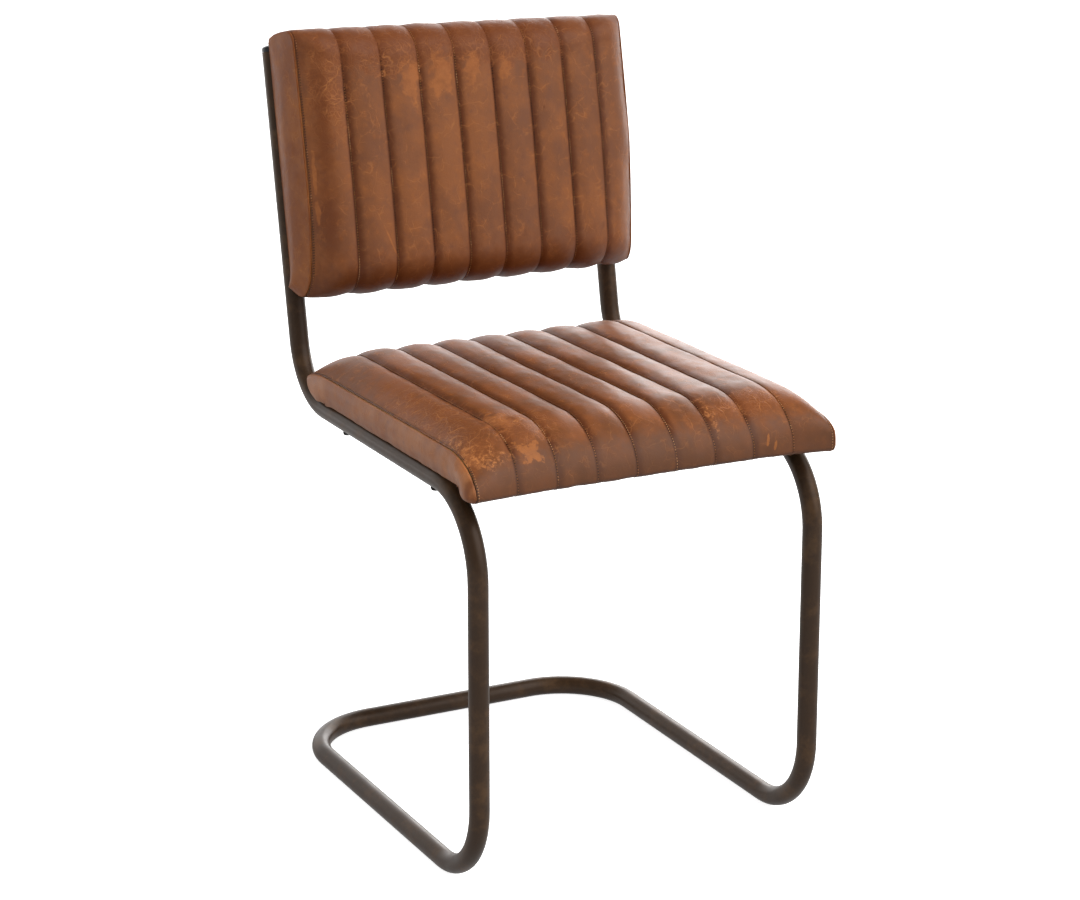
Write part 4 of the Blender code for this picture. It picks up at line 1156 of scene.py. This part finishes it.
def studio():
    """White paper under the chair, glowing evenly white where the camera sees it and, more behind
    the chair, in reflections, over a grey matt; a dim room whose light is brighter behind the chair
    and low down, as off a sweep, with a soft box in front and one at the rear right; and a soft key
    and fill that show no shape of their own in the gloss."""
    floor = bpy.data.meshes.new("studio_floor")
    bm = bmesh.new()
    bmesh.ops.create_grid(bm, x_segments=1, y_segments=1, size=PAPER_REACH,
                          matrix=Matrix.Translation((0, 0, -PAPER_BELOW_CHAIR)))
    bm.to_mesh(floor)
    bm.free()
    paper, tree, shader, place = finish_of("matt_white_paper", 0.9, others={
        "Specular IOR Level": 0.0, "Emission Color": (1.0, 1.0, 1.0, 1.0)})
    fibre = pattern(place, "Noise", 300)
    path = add(tree, "ShaderNodeLightPath").outputs
    seen = path["Is Camera Ray"]
    white = blend(fibre, "#f6f6f6", "#f3f3f3")
    tree.links.new(blend(seen, "#909090", white), shader.inputs["Base Color"])
    # The paper glows though it is no lamp: evenly white to the camera, and in reflections more
    # behind the chair
    behind = add(tree, "ShaderNodeSeparateXYZ", {0: place}).outputs[1]
    shine = between(behind, *PAPER_SHINE_FROM, PAPER_SHINE, PAPER_SHINE_BEHIND)
    mirrored = times(path["Is Glossy Ray"], shine)
    glow = times(times(seen, PAPER_GLOW), mirrored, "ADD")
    tree.links.new(glow, shader.inputs["Emission Strength"])
    floor.materials.append(paper)
    stand("studio_floor", floor)

    world = bpy.data.worlds.new("white_room")
    bpy.context.scene.world = world
    world.use_nodes = True
    tree = world.node_tree
    background = tree.nodes["Background"]
    background.inputs["Color"].default_value = (1.0, 1.0, 1.0, 1.0)
    way = add(tree, "ShaderNodeTexCoord").outputs["Generated"]
    side = add(tree, "ShaderNodeSeparateXYZ", {0: way}).outputs
    sweep = times(between(side[1], 0.1, 0.7), between(side[2], 0.68, 0.40))
    sweep = times(sweep, between(side[0], -0.7, 0.6, 0.35, 1.0))
    facing = add(tree, "ShaderNodeVectorMath", {0: way, 1: aim(*FRONT_BOX_AIM)},
                 operation="DOT_PRODUCT").outputs["Value"]
    box = between(facing, cos(radians(FRONT_BOX_REACH)), 0.98, 0.0, FRONT_BOX_LIGHT)
    glow = times(times(times(sweep, SWEEP_LIGHT), box, "ADD"), ROOM_LIGHT, "ADD")
    seen = add(tree, "ShaderNodeLightPath").outputs["Is Camera Ray"]
    strength = add(tree, "ShaderNodeMix", {0: seen, 2: glow, 3: 1.0}).outputs[0]
    tree.links.new(strength, background.inputs["Strength"])

    soft = bpy.data.lights.new("rear_box", "AREA")
    soft.shape = "RECTANGLE"
    soft.size, soft.size_y = REAR_BOX_SIZE
    soft.energy = REAR_BOX_POWER
    box = stand("rear_box", soft)
    box.location = REAR_BOX_PLACE
    box.rotation_euler = (box.location - SEAT_MIDDLE).to_track_quat("Z", "Y").to_euler()
    box.visible_camera = False

    for name, way, power, spread in LAMPS:
        lamp = bpy.data.lights.new(name, "SUN")
        lamp.energy = power
        lamp.angle = radians(spread)
        light = stand(name, lamp)
        light.rotation_euler = aim(*way).to_track_quat("Z", "Y").to_euler()
        light.visible_glossy = False


def camera():
    lens = bpy.data.cameras.new("view")
    lens.lens = VIEW_LENS_MM
    lens.sensor_width = SENSOR_MM
    seen_from = stand("view", lens)
    away = aim(VIEW_AZIMUTH, VIEW_ELEVATION)
    seen_from.location = VIEW_TARGET + away * VIEW_DISTANCE
    seen_from.rotation_euler = away.to_track_quat("Z", "Y").to_euler()
    lens.clip_end = 100
    bpy.context.scene.camera = seen_from
    bpy.context.scene.view_settings.view_transform = "Standard"


def dress(finish, *nodes):
    """Gives a finish to nodes whose shape stays as the part has it."""
    for node in nodes:
        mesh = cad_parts[node].data
        mesh.materials.clear()
        mesh.materials.append(finish)


def build():
    camera()
    studio()
    seat_hide = waxed_leather(
        "waxed_cognac_leather_seat", "#834b26", "#6f4020", 0.03,
        pitch=2 * SEAT_HALF_WIDTH / SEAT_CHANNELS, first_seam=-SEAT_HALF_WIDTH, last_seam=0.3,
        crackled=SEAT_CRACKLED, worn=SEAT_WORN, shaded=SEAT_FRONT_SHADE, stains_and_shade=SEAT_SHADE_UNDER_BACK,
        flecked=SEAT_FLECKED, flaked=SEAT_FLAKED)
    back_hide = waxed_leather(
        "waxed_cognac_leather_back", "#8a532e", "#794a2e", 0.0,
        pitch=2 * BACK_HALF_WIDTH / BACK_CHANNELS, first_seam=-BACK_HALF_WIDTH,
        crackled=BACK_CRACKLED, worn=BACK_WORN, stains_and_shade=BACK_STAINS_AND_SHADE)
    # The side bands, and the back's rear panel, take the same leather painted paler: painted light
    # for the brighter light on the sides
    seat_band_hide_painted_lighter = waxed_leather("waxed_cognac_leather_sides_painted_lighter", "#a3683f", "#8f5733", 0.06,
                              worn=SIDE_WORN, stains_and_shade=SIDE_BAND_SHADE)
    back_band_hide_painted_lighter = waxed_leather("waxed_cognac_leather_back_sides_painted_lighter", "#965b33", "#824b2a", 0.0,
                                   shine=0.15)
    cover("seat_leather", "seat_top_cover", SEAT, (0, 0, 1), seat_wave, seat_hide)
    cover("back_leather", "back_front_cover", BACK, (0, -1, 0), back_wave, back_hide)
    for side, sign in (("right", -1), ("left", 1)):
        seat_band("seat_side_band_" + side, sign, seat_band_hide_painted_lighter)
        back_band("back_side_band_" + side, sign, back_band_hide_painted_lighter)
    rear_panel(back_band_hide_painted_lighter)
    foam = cushion_foam()
    foam_core("seat_foam_core", "seat_foam", SEAT, seat_foam_outline, foam)
    foam_core("back_foam_core", "back_foam", BACK, back_foam_outline, foam)
    threads = (sewing_thread("waxed_brown_thread", "#7a4824", "#96602f"),
               sewing_thread("rubbed_thread", "#a86a3c", "#c99162"))
    sew("seat_stitches", SEAT, 8, seat_thread_rubbed, *threads)
    sew("back_stitches", BACK, 2, back_thread_rubbed, *threads)
    bent_tube(lacquered_steel())
    black_oxide = fastener_steel("black_oxide_steel", "#1c1b1b", "#33302e", 0.38)
    seat_bolts(black_oxide)
    back_screws(black_oxide)
    end_plugs(moulded_plastic())
    dress(birch_plywood(), "seat_board", "back_board")
    dress(spunbond_lining(), "seat_lining")
    zinc = fastener_steel("zinc_plated_steel", "#8d9092", "#b9bcbd", 0.3)
    dress(zinc, *[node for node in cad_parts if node.startswith("seat_insert_")])


build()
